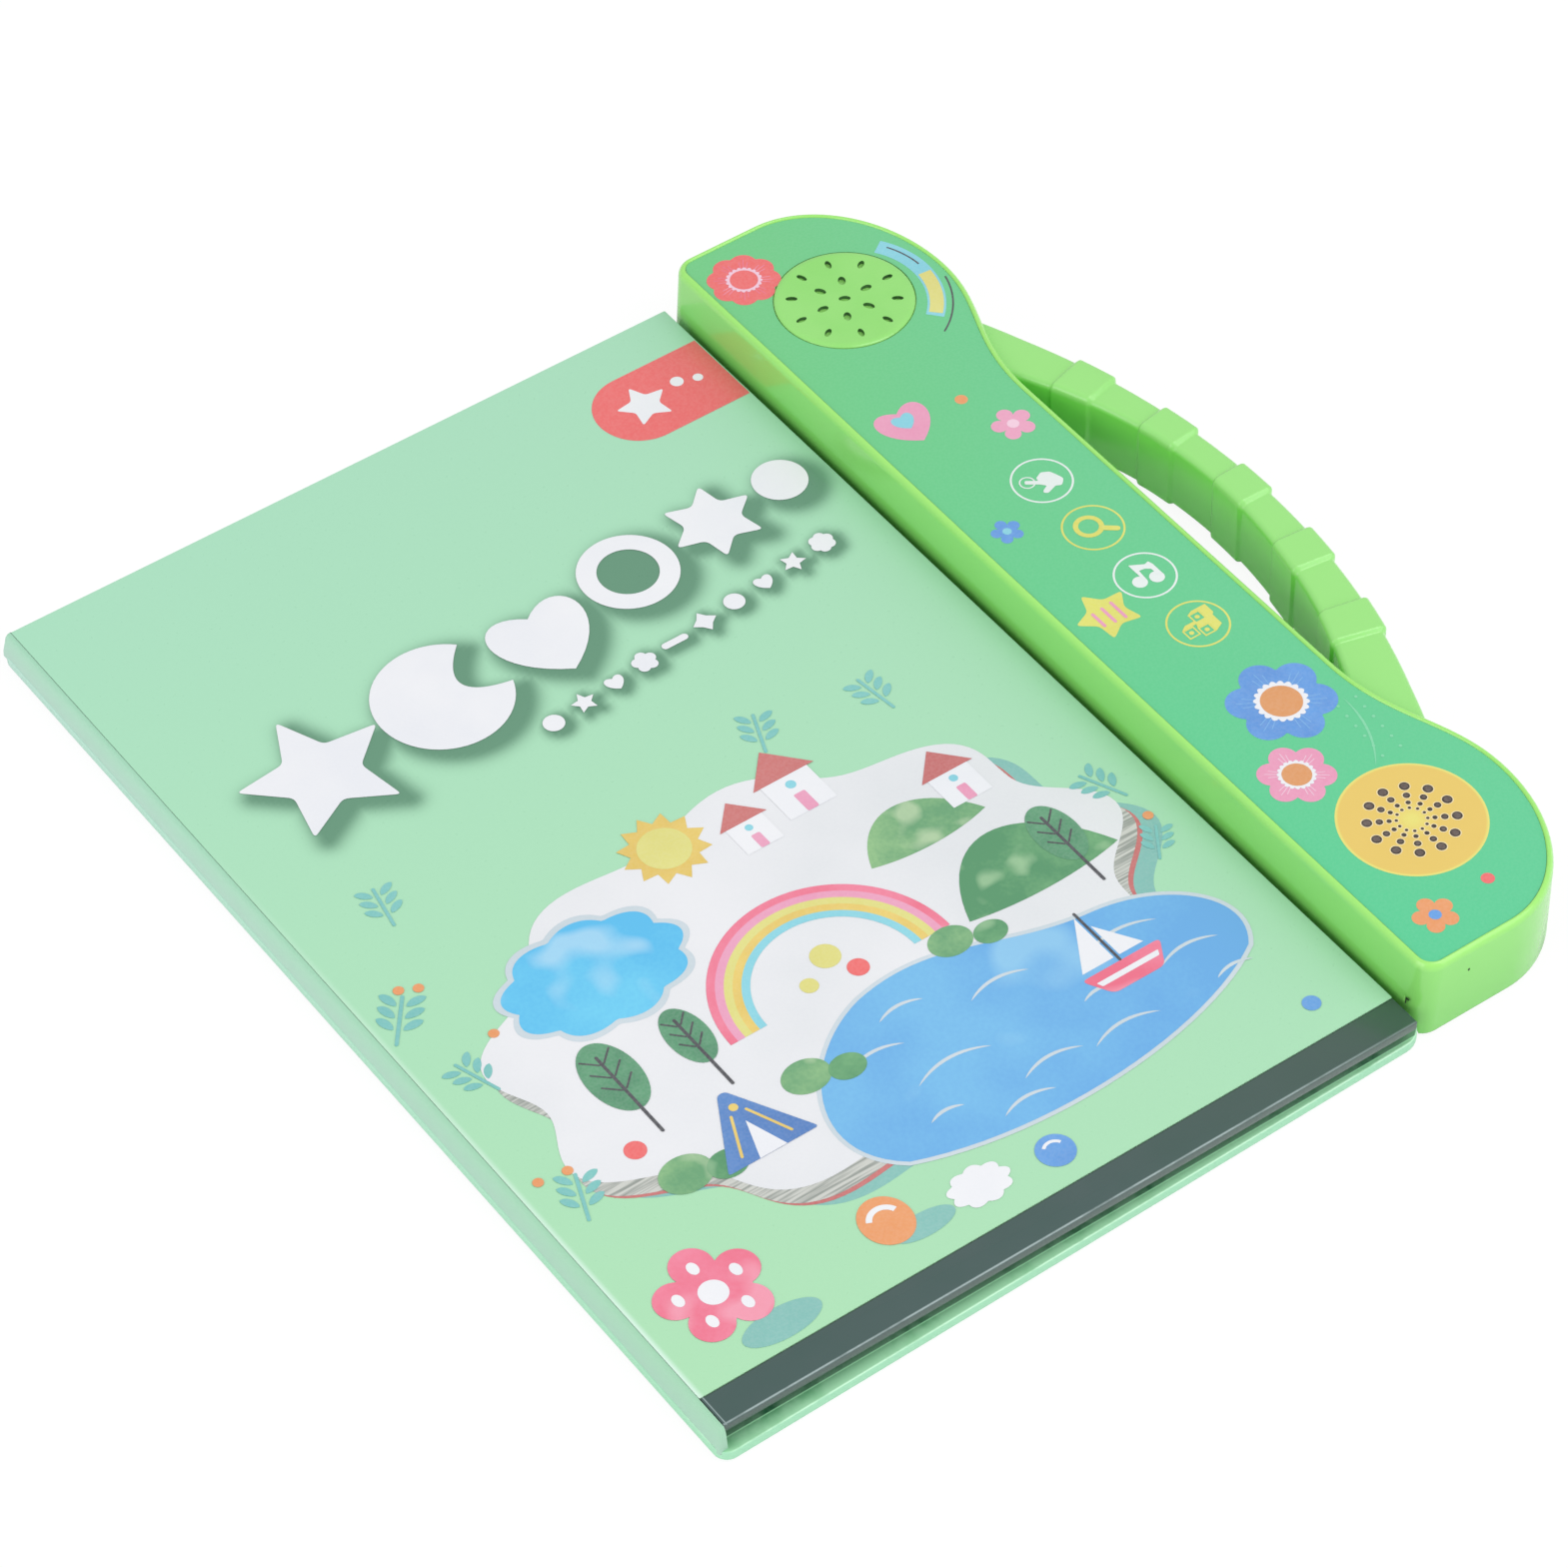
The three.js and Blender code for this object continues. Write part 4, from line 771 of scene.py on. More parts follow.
# Lake with light wave strokes, and a small sailing boat
lake_ring = on_cover(bezier([
    (25.6, 11.8), (36, 7.6), (52, 9), (59.6, 13.8), (63.1, 18), (58.2, 22.9), (52, 23.6),
    (44.4, 24.2), (40.2, 29.1), (31.9, 27), (25, 24.9), (19.4, 16.6), (25.6, 11.8),
], 24))
LAKE_EDGE = ink_paint("ink_lake_edge", rgb(206, 218, 226), rgb(198, 212, 220))
cover_ink("lake_edge_ink", [[inset_ring(lake_ring, -1.1)]], 4, LAKE_EDGE)
cover_ink("lake_ink", [[lake_ring]], 5, WATER, "print_lake")
WAVES = [
    (78, 62, 15), (92, 70, 12), (88, 50, 20), (112, 63, 16), (126, 36, 18), (108, 38, 16),
    (140, 58, 20), (152, 46, 16), (98, 32, 14), (132, 48, 9), (160, 36, 10), (84, 40, 9),
]
cover_ink("lake_waves", [
    [brush((x, y), (x + 0.5 * length, y + 0.28 * length), (x + length, y), 0.9)]
    for x, y, length in WAVES
], 6, LAKE_EDGE)
BOAT = np.array([146.0, 50.0])
hull = BOAT + soften(np.array([(-11, 3), (-7, -4), (7, -4), (11, 3)], float), 1.6)
cover_ink("boat_hull", [[hull]], 7, PINK)
cover_ink("boat_stripe", [[BOAT + soften(np.array(
    [(-8.6, 0.6), (-7.9, -0.9), (7.9, -0.9), (8.6, 0.6)], float), 0.3)]], 8, WHITE)
cover_ink("boat_sails", [
    [BOAT + np.array([(-0.8, 4.5), (-0.8, 19), (-9.5, 4.5)], float)[::-1]],
    [BOAT + np.array([(0.8, 4.5), (7.5, 4.5), (0.8, 15)], float)],
], 7, WHITE)
cover_ink("boat_mast", [[capsule(BOAT + (0, 3.2), BOAT + (0, 20), 0.7)]], 8, CHARCOAL)

# Cloud with pale puffs, sun, rainbow and hills
CLOUD = (17.3, 41.2)
SUN = (29.1, 48.8)
RAINBOW = (31.9, 29.1)
RAINBOW_OUT, RAINBOW_IN = 10.4, 7.0
BANDS = [PINK, ROSE, LEMON, YELLOW, AQUA]
BAND_STEP = (RAINBOW_OUT - RAINBOW_IN) / len(BANDS)
cover_ink("sky_edge_ink", [[on_cover(scallop(*CLOUD, 8.6, 6.1, 9, 0.12))]], 4, LAKE_EDGE)
cover_ink("sky_ink", [[on_cover(scallop(*CLOUD, 8, 5.5, 9, 0.12))]], 5, SKY, "print_sky")
cover_ink("sun_ink", [[on_cover(star(*SUN, 3.8, 2.8, 12))]], 5, YELLOW, "print_sun")
cover_ink("sun_face", [[on_cover(circle(*SUN, 2.2))]], 6, LEMON)
for i, ink in enumerate(BANDS):
    outer = RAINBOW_OUT - i * BAND_STEP
    ribbon = arch(*RAINBOW, outer, outer - BAND_STEP, 0, math.pi)
    nodes = ("print_rainbow",) if i == 0 else ()
    cover_ink(f"rainbow_band_{i + 1}", [[on_cover(ribbon)]], 6, ink, *nodes)


def hill(x, width, base, height):
    """Ring of a low rounded hill on a slightly sagging base line."""
    return on_cover(bezier([
        (x, base), (x + 0.2 * width, base + 1.3 * height),
        (x + 0.7 * width, base + 1.3 * height), (x + width, base),
        (x + 0.7 * width, base - 1), (x + 0.3 * width, base - 1), (x, base),
    ], 24))


cover_ink("hill_far_ink", [[hill(40.9, 11.1, 37.4, 4.5)]], 5, MOSS, "print_hill_far")
cover_ink("hill_near_ink", [[hill(43.7, 14.5, 28.4, 6.9)]], 6, LEAF, "print_hill_near")
BUSHES = [(119, 80, 5.5), (70, 67, 6.0), (33, 60, 6.5)]
cover_ink("bushes", [[circle(x, y, r, 40, 0.8)] for x, y, r in BUSHES], 7, MOSS)
cover_ink("low_bushes", [[circle(x + 9, y - 3, 0.76 * r, 40, 0.8)] for x, y, r in BUSHES], 8, LEAF)


def house(x, y, width, height):
    """Wall, roof, door and window of a plain little house."""
    wall = np.array([(x, y), (x + width, y), (x + width, y + height), (x, y + height)], float)
    roof = np.array([
        (x - 0.15 * width, y + height), (x + 1.15 * width, y + height),
        (x + 0.5 * width, y + 1.8 * height),
    ], float)
    door = soften(np.array([
        (x + 0.38 * width, y), (x + 0.62 * width, y),
        (x + 0.62 * width, y + 0.5 * height), (x + 0.38 * width, y + 0.5 * height),
    ], float), 0.5)
    window = circle(x + 0.5 * width, y + 0.76 * height, 0.1 * width, 20)
    return wall, roof, door, window


HOUSES = [house(98, 128, 10, 9), house(112, 131, 13, 12), house(144, 112, 11, 10)]
cover_ink("house_walls", [[parts[0]] for parts in HOUSES], 7, WHITE)
cover_ink("house_roofs", [[parts[1]] for parts in HOUSES], 8, BRICK)
cover_ink("house_doors", [[parts[2]] for parts in HOUSES], 8, ROSE)
cover_ink("house_windows", [[parts[3]] for parts in HOUSES], 8, AQUA)

# Trees with a veined crown, and a striped tent
TREES = [(36, 92, 6.5, 11), (56, 92, 5, 9), (158, 92, 5.5, 9.5)]
crowns, trunks, veins = [], [], []
for x, y, wide, tall in TREES:
    crowns.append([circle(x, y, wide, 56, tall / wide)])
    trunks.append([capsule((x, y - tall - 8), (x, y + 0.6 * tall), 0.8)])
    for side in (-1, 1):
        for up in (-0.4, 0.0, 0.4):
            tip = (x + side * 0.6 * wide, y + (up + 0.28) * tall)
            veins.append([capsule((x + side * 0.6, y + up * tall), tip, 0.45)])
cover_ink("tree_crowns", crowns, 9, FOREST)
cover_ink("tree_trunks", trunks, 10, CHARCOAL)
cover_ink("tree_veins", veins, 11, CHARCOAL)

TENT = np.array([52.0, 62.0])
tent = TENT + soften(np.array([(-12, -8), (12, -8), (1, 12), (-1, 12)], float), 1.0)
cover_ink("tent", [[tent]], 10, NAVY)
cover_ink("tent_door", [[TENT + np.array([(-3.6, -8), (3.6, -8), (0, 2.6)], float)]], 11, WHITE)
cover_ink("tent_stripes", [
    [capsule(TENT + (-6.6, -5.4), TENT + (-2.0, 5.2), 0.7)],
    [capsule(TENT + (6.6, -5.4), TENT + (2.0, 5.2), 0.7)],
    [circle(TENT[0], TENT[1] + 7.2, 1.1, 24)],
], 11, YELLOW)
cover_ink("balls", [[circle(94, 93, 3.6, 36)], [circle(86, 88, 2.2, 30)]], 6, LEMON)
cover_ink("red_ball", [[circle(98, 86, 2.6, 32)], [circle(28, 72, 2.6, 32)]], 6, RED)

# Blossom, ball and balloon on the open green at the bottom, with teal shadows
BLOSSOM = (19, 30)
PETALS = 5
BLOSSOM_TURN = 0.3
SPOT_REACH = 7.8
cover_ink("blossom_ink", [[on_cover(petals(6.6, 10.4, 2.88, 1.77, PETALS, BLOSSOM_TURN))]],
          5, PINK, "print_blossom")
spots = [[circle(*BLOSSOM, 3.4, 40)]]
for i in range(PETALS):
    turn = BLOSSOM_TURN + i * math.tau / PETALS
    place = (BLOSSOM[0] + SPOT_REACH * math.cos(turn), BLOSSOM[1] + SPOT_REACH * math.sin(turn))
    spots.append([circle(*place, 1.3, 24, 1.4)])
cover_ink("blossom_spots", spots, 6, WHITE)
cover_ink("low_shadows", [
    [circle(26, 14.8, 10, 60, 0.42)],
    [circle(66, 18.4, 8, 60, 0.4)],
], 3, TEAL)
cover_ink("balloon", [[circle(60, 24, 6.2, 56, 1.12)]], 5, ORANGE)
cover_ink("balloon_bands", [[arch(60, 24, 4.4, 3.0, 0.4, 2.7, 30)]], 6, WHITE)
cover_ink("shell", [[scallop(82, 20, 8, 5.6, 9, 0.16)]], 5, WHITE)
cover_ink("blue_spots", [[circle(101, 18, 4.6, 48)], [circle(172, 18, 2.2, 32)]], 5, BLUE)
cover_ink("blue_spot_marks", [[arch(101, 18, 3.0, 2.2, 0.5, 2.4, 24)]], 6, WHITE)


def sprig(x, y, size, turn):
    """Stem with three pairs of pointed leaves."""
    along = np.array([math.cos(turn), math.sin(turn)])
    across = np.array([-along[1], along[0]])
    root = np.array([x, y], float)
    parts = [[capsule(root, root + along * size, 0.05 * size + 0.2)]]
    for step in (0.3, 0.55, 0.8):
        for side in (-1, 1):
            foot = root + along * size * step + across * side * (0.06 * size + 0.3)
            tip = foot + (0.22 * along + 0.3 * side * across) * size
            bend = (foot + tip) / 2 + along * 0.04 * size
            parts.append([brush(foot, bend, tip, 0.16 * size, 10)])
    return parts


SPRIGS = [
    (3, 128, 14, 0.9), (22, 158, 12, 1.4), (178, 92, 12, 2.0), (14, 104, 12, 1.9),
    (9, 62, 13, 1.2), (172, 72, 10, 1.0), (120, 152, 12, 1.2), (152, 146, 12, 1.7),
]
sprigs = [part for spec in SPRIGS for part in sprig(*spec)]
cover_ink("sprigs", sprigs, 5, SPRIG)
BERRIES = [(12, 141), (16, 139), (22, 118), (6, 77), (13, 76), (178, 84)]
cover_ink("berries", [[circle(x, y, 1.3, 24)] for x, y in BERRIES], 6, ORANGE)

# Sound housing: one glossy green moulding. Its top is recessed inside a light rim,
# its inner wall leans away from the book and its hollow underside takes the base plate.
HOUSING_LENGTH = COVER_HEIGHT - 0.4
HOUSING_TOP = 22.0
HOUSING_LEFT = COVER_RIGHT + 0.6
HOUSING_LEAN = 2.3               # how far the inner wall leans away from the book at the top
WAIST_LEAN = 2.4                 # and the waist's wall toward it
WAIST_WIDTH = 48.6
WAIST_RIGHT = HOUSING_LEFT + WAIST_WIDTH
LOBE_RIGHT = WAIST_RIGHT + 8.4
LOBE_WIDTH = 0.617 * WAIST_WIDTH
LOBE_DEPTH = 0.135 * HOUSING_LENGTH
FLANK = 0.166 * HOUSING_LENGTH
INNER_CORNER = 5.0
HOUSING_MID = MID_Y + 1
HALF = HOUSING_LENGTH / 2
RECESS = 0.9
FLOOR_Z = HOUSING_TOP - RECESS
DISC_X = HOUSING_LEFT + 0.6 * WAIST_WIDTH
DISC_RADIUS = 0.356 * WAIST_WIDTH
DISC_INSET = 0.1275 * HOUSING_LENGTH
GRILLE_Y = HOUSING_MID + HALF - DISC_INSET + 1.3
DOTS_Y = HOUSING_MID - HALF + DISC_INSET + 0.9


def half_outline(left, waist):
    """Near half of the housing outline: a quarter circle at the inner corner, a quarter
    ellipse round the lobe, then an S-shaped flank down to the waist."""
    turn = np.linspace(math.pi, 1.5 * math.pi, 9)
    corner = np.column_stack([
        left + INNER_CORNER * (1 + np.cos(turn)), -HALF + INNER_CORNER * (1 + np.sin(turn)),
    ])
    turn = np.linspace(-math.pi / 2, 0, 33)
    lobe_x = LOBE_RIGHT - LOBE_WIDTH
    lobe = np.column_stack([
        lobe_x + LOBE_WIDTH * np.cos(turn), -HALF + LOBE_DEPTH * (1 + np.sin(turn)),
    ])
    lobe_end = -HALF + LOBE_DEPTH
    flank = bezier([
        (LOBE_RIGHT, lobe_end), (LOBE_RIGHT, lobe_end + 0.375 * FLANK),
        (waist, lobe_end + 0.54 * FLANK), (waist, lobe_end + FLANK),
    ], 28)
    return np.concatenate([corner, lobe, flank[1:], [(waist, lobe_end + FLANK)]])


def housing_ring(height, inset=0.0):
    """Whole outline at a height: the inner wall and the waist lean in above the book."""
    rise = max(height, BOOK_TOP) / HOUSING_TOP
    near = half_outline(HOUSING_LEFT + HOUSING_LEAN * rise, WAIST_RIGHT - WAIST_LEAN * rise)
    far = (near * (1, -1))[::-1]
    ring = inset_ring(np.concatenate([near, far]), inset)
    return ring + (0, HOUSING_MID)


def green_paint(name, body, low, shade):
    """Glossy moulded plastic with painted shade that deepens it toward the table and beside the
    cover, and a pale painted highlight along the rim.
    """
    paint = Paint(name, 0.2, coat=0.5)
    axes, _ = paint.position()
    # Painted shade: the plastic is deeper toward the table.
    height = paint.ramp(axes[2], 3 * MM, 20.5 * MM)
    tone = paint.mix(height, low, body)
    # Painted shade: darker at the foot of the wall beside the cover.
    foot = paint.fall(axes[2], 9 * MM, 12.4 * MM)
    wall_x = (HOUSING_LEFT + HOUSING_LEAN - MID_X) * MM
    beside = paint.fall(axes[0], wall_x - 1.2 * MM, wall_x)
    beside = paint.times(beside, paint.ramp(axes[1], -142 * MM, -110 * MM))
    dark = paint.times(paint.math("POWER", foot, 1.8), beside)
    tone = paint.mix(paint.times(dark, 0.3), tone, shade)
    # Painted highlight: pale along the rounded rim.
    rim = paint.times(paint.ramp(axes[2], 19.9 * MM, 21.7 * MM), 0.75)
    tone = paint.mix(rim, tone, rgb(168, 240, 116))
    flow = paint.times(paint.ramp(paint.noise(22.0, 2.0), 0.4, 0.65), 0.12)
    paint.colour(paint.mix(flow, tone, rgb(150, 226, 112)))
    paint.bump(paint.noise(500.0, 2.0), 0.03)
    paint.gloss(paint.math("ADD", paint.times(flow, 0.3), 0.2))
    return paint.material


GREEN = green_paint("green_plastic", rgb(142, 222, 112), rgb(126, 210, 98), rgb(40, 92, 34))


def grille_paint():
    """The same green plastic, lit evenly: painted light makes it a little paler over the raised
    disc.
    """
    paint = Paint("grille_green", 0.22, coat=0.4)
    mottle = paint.ramp(paint.noise(60.0, 2.0), 0.35, 0.65)
    paint.colour(paint.mix(mottle, rgb(152, 226, 120), rgb(144, 222, 112)))
    paint.bump(paint.noise(500.0, 2.0), 0.03)
    return paint.material


GRILLE_GREEN = grille_paint()
# Painted shade: the slot walls inside the grille are a dark green.
SLOT_WALL = ink_paint("slot_wall", rgb(50, 110, 40), rgb(36, 86, 28), 200.0, 0.5)


SHELL_WALL = 2.2
RIM_EDGE = 2.0                   # height over which the wall rounds over into the rim
RIM_STEPS = 8
BACK_SLOT = BACK_TOP + 0.15      # foot of the wall where it passes over the back cover


def housing_shell():
    """Hollow inside, wall up from the table, rounded rim and recess floor as one loft:
    the rim's inset grows as a quarter circle and then drops steeply to the floor."""
    over_cover = housing_ring(HOUSING_TOP)[:, 0] < BACK_EDGE + 0.15

    def foot(z, inset):
        return np.where(over_cover, max(z, BACK_SLOT), z), housing_ring(z, inset)

    levels = [
        (FLOOR_Z - 2, housing_ring(FLOOR_Z - 2, SHELL_WALL)),
        foot(0.0, SHELL_WALL), foot(0.0, 0.5), foot(0.35, 0.1), foot(0.8, 0.0),
    ]
    for part in np.linspace(0, 1, RIM_STEPS + 1):
        turn = math.pi / 2 * part
        z = HOUSING_TOP - RIM_EDGE * (1 - math.sin(turn))
        levels.append((z, housing_ring(z, 0.2 * part + 1.0 * (1 - math.cos(turn)))))
    for drop, inset in ((0.05, 1.35), (0.2, 1.5), (0.5, 1.65), (HOUSING_TOP - FLOOR_Z, 1.75)):
        levels.append((HOUSING_TOP - drop, housing_ring(HOUSING_TOP, inset)))
    return loft("housing_moulding", levels, GREEN, 50)


housing = housing_shell()
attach(housing, "back_and_housing")
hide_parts("housing_shell")


def dark_paint():
    """Shadowed inside of slots and nicks, nearly black green with a faint mottle."""
    paint = Paint("slot_dark", 0.8)
    paint.colour(paint.mix(paint.noise(400.0), rgb(14, 34, 12), rgb(26, 52, 20)))
    return paint.material


DARK = dark_paint()


def wall_patch(name, y0, y1, z0, z1, material):
    """Small upright patch lying on the leaning wall beside the cover."""
    corners = [(y0, z1), (y0, z0), (y1, z0), (y1, z1)]
    verts = [(HOUSING_LEFT + HOUSING_LEAN * z / HOUSING_TOP - 0.06, y, z) for y, z in corners]
    return make_mesh(name, verts, [(0, 1, 2, 3)], material)


# A nick in the wall just above the cover, dark with painted shade and with a painted
# highlight on one bright lip, and a speck in the end face
NICK_Y = 6.0
NICK_LOW, NICK_TOP = 8.6, 10.5
END_SPECK = (202.5, 15.0)
SPECK_POINTS = 12
speck_x, speck_z = circle(*END_SPECK, 0.3, SPECK_POINTS, 1.4).T
speck_y = np.full(SPECK_POINTS, HOUSING_MID - HALF - 0.03)
speck = np.column_stack([speck_x, speck_y, speck_z])
for piece in (
    wall_patch("wall_nick", NICK_Y - 0.2, NICK_Y + 0.2, NICK_LOW, NICK_TOP, DARK),
    wall_patch("wall_nick_top", NICK_Y - 1.0, NICK_Y - 0.2, NICK_TOP - 0.5, NICK_TOP, DARK),
    wall_patch("wall_nick_lip", NICK_Y + 0.4, NICK_Y + 0.75, BOOK_TOP, NICK_TOP, GRILLE_GREEN),
    make_mesh("end_speck", speck, [range(SPECK_POINTS)], DARK),
):
    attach(piece, "back_and_housing")


def slot_hole(angle, distance, length, width):
    """Ring of an oval slot pointing away from the middle of the grille."""
    x = DISC_X + distance * DISC_RADIUS * math.cos(angle)
    y = GRILLE_Y + distance * DISC_RADIUS * math.sin(angle)
    return circle(x, y, length * DISC_RADIUS / 2, 20, width / length, angle)


# Rings of slots from the middle out: how many, first angle, then distance, length and
# width as shares of the disc's radius
SLOT_RINGS = [(1, -0.5, 0, 0.17, 0.11), (6, 0, 0.375, 0.175, 0.11), (10, 0, 0.748, 0.17, 0.088)]
GRILLE_TOP = HOUSING_TOP + 0.1
GRILLE_EDGE = (1.6, 0.6)         # width and height of the disc's soft edge
SLOT_DEPTH = 3.0
SLOT_FLOOR = 1.8                 # how far down the dark shows


def grille():
    """Round raised disc with its slots: top face, soft edge, and hole walls and floors darkened
    with painted shade.
    """
    holes = [
        slot_hole(start + math.tau * i / count, *sizes)
        for count, start, *sizes in SLOT_RINGS for i in range(count)
    ]
    edge_width, edge_height = GRILLE_EDGE
    flat = DISC_RADIUS - edge_width
    rim = circle(DISC_X, GRILLE_Y, flat, 96)
    outline = [rim] + [hole[::-1] for hole in holes]
    face = skin("grille_disc", [outline], GRILLE_TOP, GRILLE_GREEN)
    edge = [(FLOOR_Z - 0.5, circle(DISC_X, GRILLE_Y, DISC_RADIUS, 96))]
    for turn in np.linspace(0, math.pi / 2, 9):
        ring = circle(DISC_X, GRILLE_Y, flat + edge_width * math.cos(turn), 96)
        edge.append((GRILLE_TOP - edge_height * (1 - math.sin(turn)), ring))
    side = loft("grille_edge", edge, GRILLE_GREEN, 60, close=False)
    walls = []
    for i, hole in enumerate(holes):
        levels = [(GRILLE_TOP - SLOT_DEPTH, hole[::-1]), (GRILLE_TOP, hole[::-1])]
        walls.append(loft(f"grille_slot_{i}", levels, SLOT_WALL, 60, close=False))
    floors = skin("grille_dark", [[hole] for hole in holes], GRILLE_TOP - SLOT_FLOOR, DARK)
    return [face, side, floors, *walls]


for piece in grille():
    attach(piece, "back_and_housing")

# Overlay: a printed gloss film stuck in the recess, cut out round the grille disc.
OVERLAY_TOP = FLOOR_Z + 0.45
OVERLAY_INSET = 1.7              # from the housing's outline in to the film's edge
GRILLE_GAP = 0.25                # between the film and the grille disc


def overlay_paint():
    """Green printed film, bluer toward the outer edge, with a fine orange-peel gloss."""
    paint = Paint("overlay_green", 0.18, coat=0.6)
    axes, _ = paint.position()
    along = paint.ramp(axes[1], -130 * MM, 130 * MM)
    across = paint.ramp(axes[0], 60 * MM, 115 * MM)
    base = paint.mix(along, rgb(80, 205, 148), rgb(110, 204, 130))
    base = paint.mix(paint.times(across, 0.5), base, rgb(104, 204, 150))
    grain = paint.times(paint.ramp(paint.noise(1400.0, 2.0), 0.35, 0.65), 0.04)
    paint.colour(paint.mix(grain, base, rgb(190, 240, 210)))
    paint.bump(paint.noise(160.0, 2.0), 0.02)
    return paint.material


film_edge = housing_ring(HOUSING_TOP, OVERLAY_INSET)
film_hole = circle(DISC_X, GRILLE_Y, DISC_RADIUS + GRILLE_GAP, 96)[::-1]
overlay = skin("overlay_film", [[film_edge, film_hole]], OVERLAY_TOP, overlay_paint())
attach(overlay, "back_and_housing")
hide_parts("overlay_label")


def label_ink(name, islands, layer, material, *nodes):
    """A skin on the overlay that stands for the named solids."""
    made = skin(name, islands, OVERLAY_TOP + LAYER * (1 + layer), material)
    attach(made, "back_and_housing")
    if nodes:
        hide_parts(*nodes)
    return made


LABEL_UNIT = np.array([WAIST_WIDTH / 17, HOUSING_LENGTH / 101])
LABEL_ORIGIN = np.array([HOUSING_LEFT, HOUSING_MID - HALF])


def on_label(ring):
    """Stretches a ring from the overlay's grid of 17 by 101 over the housing."""
    return ring * LABEL_UNIT + LABEL_ORIGIN


# Printed dot disc: yellow ink on the film over the near lobe, paler at its rim and in
# its middle, with twelve spokes of brown dots that grow toward the rim.
def disc_yellow():
    """Yellow that brightens toward the middle and in a thin line at the rim."""
    paint = Paint("ink_disc_yellow", 0.22, coat=0.5)
    axes, _ = paint.position()
    across = paint.math("SUBTRACT", axes[0], (DISC_X - MID_X) * MM)
    along = paint.math("SUBTRACT", axes[1], (DOTS_Y - MID_Y) * MM)
    spread = paint.math("ADD", paint.math("POWER", across, 2.0), paint.math("POWER", along, 2.0))
    radius = paint.math("SQRT", spread)
    heart_glow = paint.fall(radius, 1 * MM, 6 * MM)
    rim_glow = paint.ramp(radius, (DISC_RADIUS - 0.8) * MM, (DISC_RADIUS - 0.3) * MM)
    glow = paint.math("MAXIMUM", heart_glow, rim_glow)
    base = paint.mix(paint.noise(60.0), rgb(234, 202, 106), rgb(230, 198, 98))
    paint.colour(paint.mix(paint.times(glow, 0.85), base, rgb(234, 228, 122)))
    return paint.material


DOT_BROWN = ink_paint("ink_dot_brown", rgb(54, 40, 26), rgb(46, 34, 22))
DOT_GREY = ink_paint("ink_dot_grey", rgb(98, 84, 78), rgb(90, 76, 70))
DOT_HALO = ink_paint("ink_dot_halo", rgb(250, 232, 184), rgb(246, 226, 174))
SPOKES = 12

# Dots of one spoke from the rim in: distance and size as shares of the disc's radius
DOTS = [(0.592, 0.068), (0.428, 0.047), (0.3, 0.032), (0.206, 0.021)]


def dot_rings(grow, kinds=DOTS):
    """Outlines of the dots, each grown by the given amount in millimetres."""
    rings = []
    for spoke in range(SPOKES):
        turn = spoke / SPOKES * math.tau
        for distance, size in kinds:
            x = DISC_X + distance * DISC_RADIUS * math.cos(turn)
            y = DOTS_Y + distance * DISC_RADIUS * math.sin(turn)
            rings.append([circle(x, y, size * DISC_RADIUS + grow, 24)])
    return rings


label_ink("dot_disc_ink", [[circle(DISC_X, DOTS_Y, DISC_RADIUS, 96)]], 0, disc_yellow(),
          "print_dot_disc", "print_dot_ground")
label_ink("dot_halos", dot_rings(0.28), 1, DOT_HALO)
label_ink("dots", dot_rings(0.04), 2, DOT_BROWN)
label_ink("dot_middles", dot_rings(-0.32, DOTS[:2]), 3, DOT_GREY)

# Touch icons: white and yellow rings printed on the film over the contact springs, with
# a hand, a lens, a note and building blocks in them.
ICON_PITCH = 0.0686 * HOUSING_LENGTH
ICON_RADIUS = 7.6
ICON_LINE = 0.5
ICON_WHITE = ink_paint("ink_icon_white", rgb(232, 240, 238), rgb(226, 236, 232), 60.0, 0.22)
ICON_YELLOW = ink_paint("ink_icon_yellow", rgb(226, 226, 110), rgb(220, 218, 102), 60.0, 0.22)


def placed(x, y, points, round_off=0.4):
    """Outline through points given from an icon's middle, its corners rounded."""
    return soften(np.array(points, float) + (x, y), round_off)


def icon_hand(x, y):
    """Pointing hand, thumb down, with a small ring round its finger tip."""
    ring = [circle(x - 3.26, y + 1.42, 2.0, 40), circle(x - 3.26, y + 1.42, 1.65, 40)[::-1]]
    hand = placed(x, y, [
        (-4.1, 1.3), (-1.2, -0.8), (-0.1, -2.1), (-1.8, -2.9), (-2.2, -3.6), (-1.3, -4.3),
        (1.5, -3.3), (2.9, -4.0), (3.9, -3.2), (4.6, -2.3), (4.0, -0.3), (3.3, 1.4),
        (1.4, 2.4), (-0.7, 1.4), (-0.7, 0.4), (-3.4, 2.3),
    ])
    return [ring], [[hand]]


def icon_lens(x, y):
    """Magnifying glass with its grip down to the right."""
    glass = [circle(x - 0.65, y + 0.92, 3.7, 48), circle(x - 0.65, y + 0.92, 2.45, 40)[::-1]]
    return [glass], [[capsule((x + 1.9, y - 1.5), (x + 4.4, y - 3.5), 1.6)]]


def icon_note(x, y):
    """Two notes joined by a sloping beam."""
    heads = [[circle(x - 2.4, y - 1.1, 1.85, 36)], [circle(x + 1.9, y - 2.0, 1.85, 36)]]
    beam = placed(x, y, [
        (-1.3, 4.9), (2.2, 2.9), (3.3, 3.3), (3.7, 2.0), (3.7, -1.9), (2.4, -1.4),
        (2.4, 0.8), (1.3, 1.7), (-0.3, 2.0), (-0.6, -1.2), (-1.3, -1.0),
    ], 0.3)
    return heads, [[beam]]


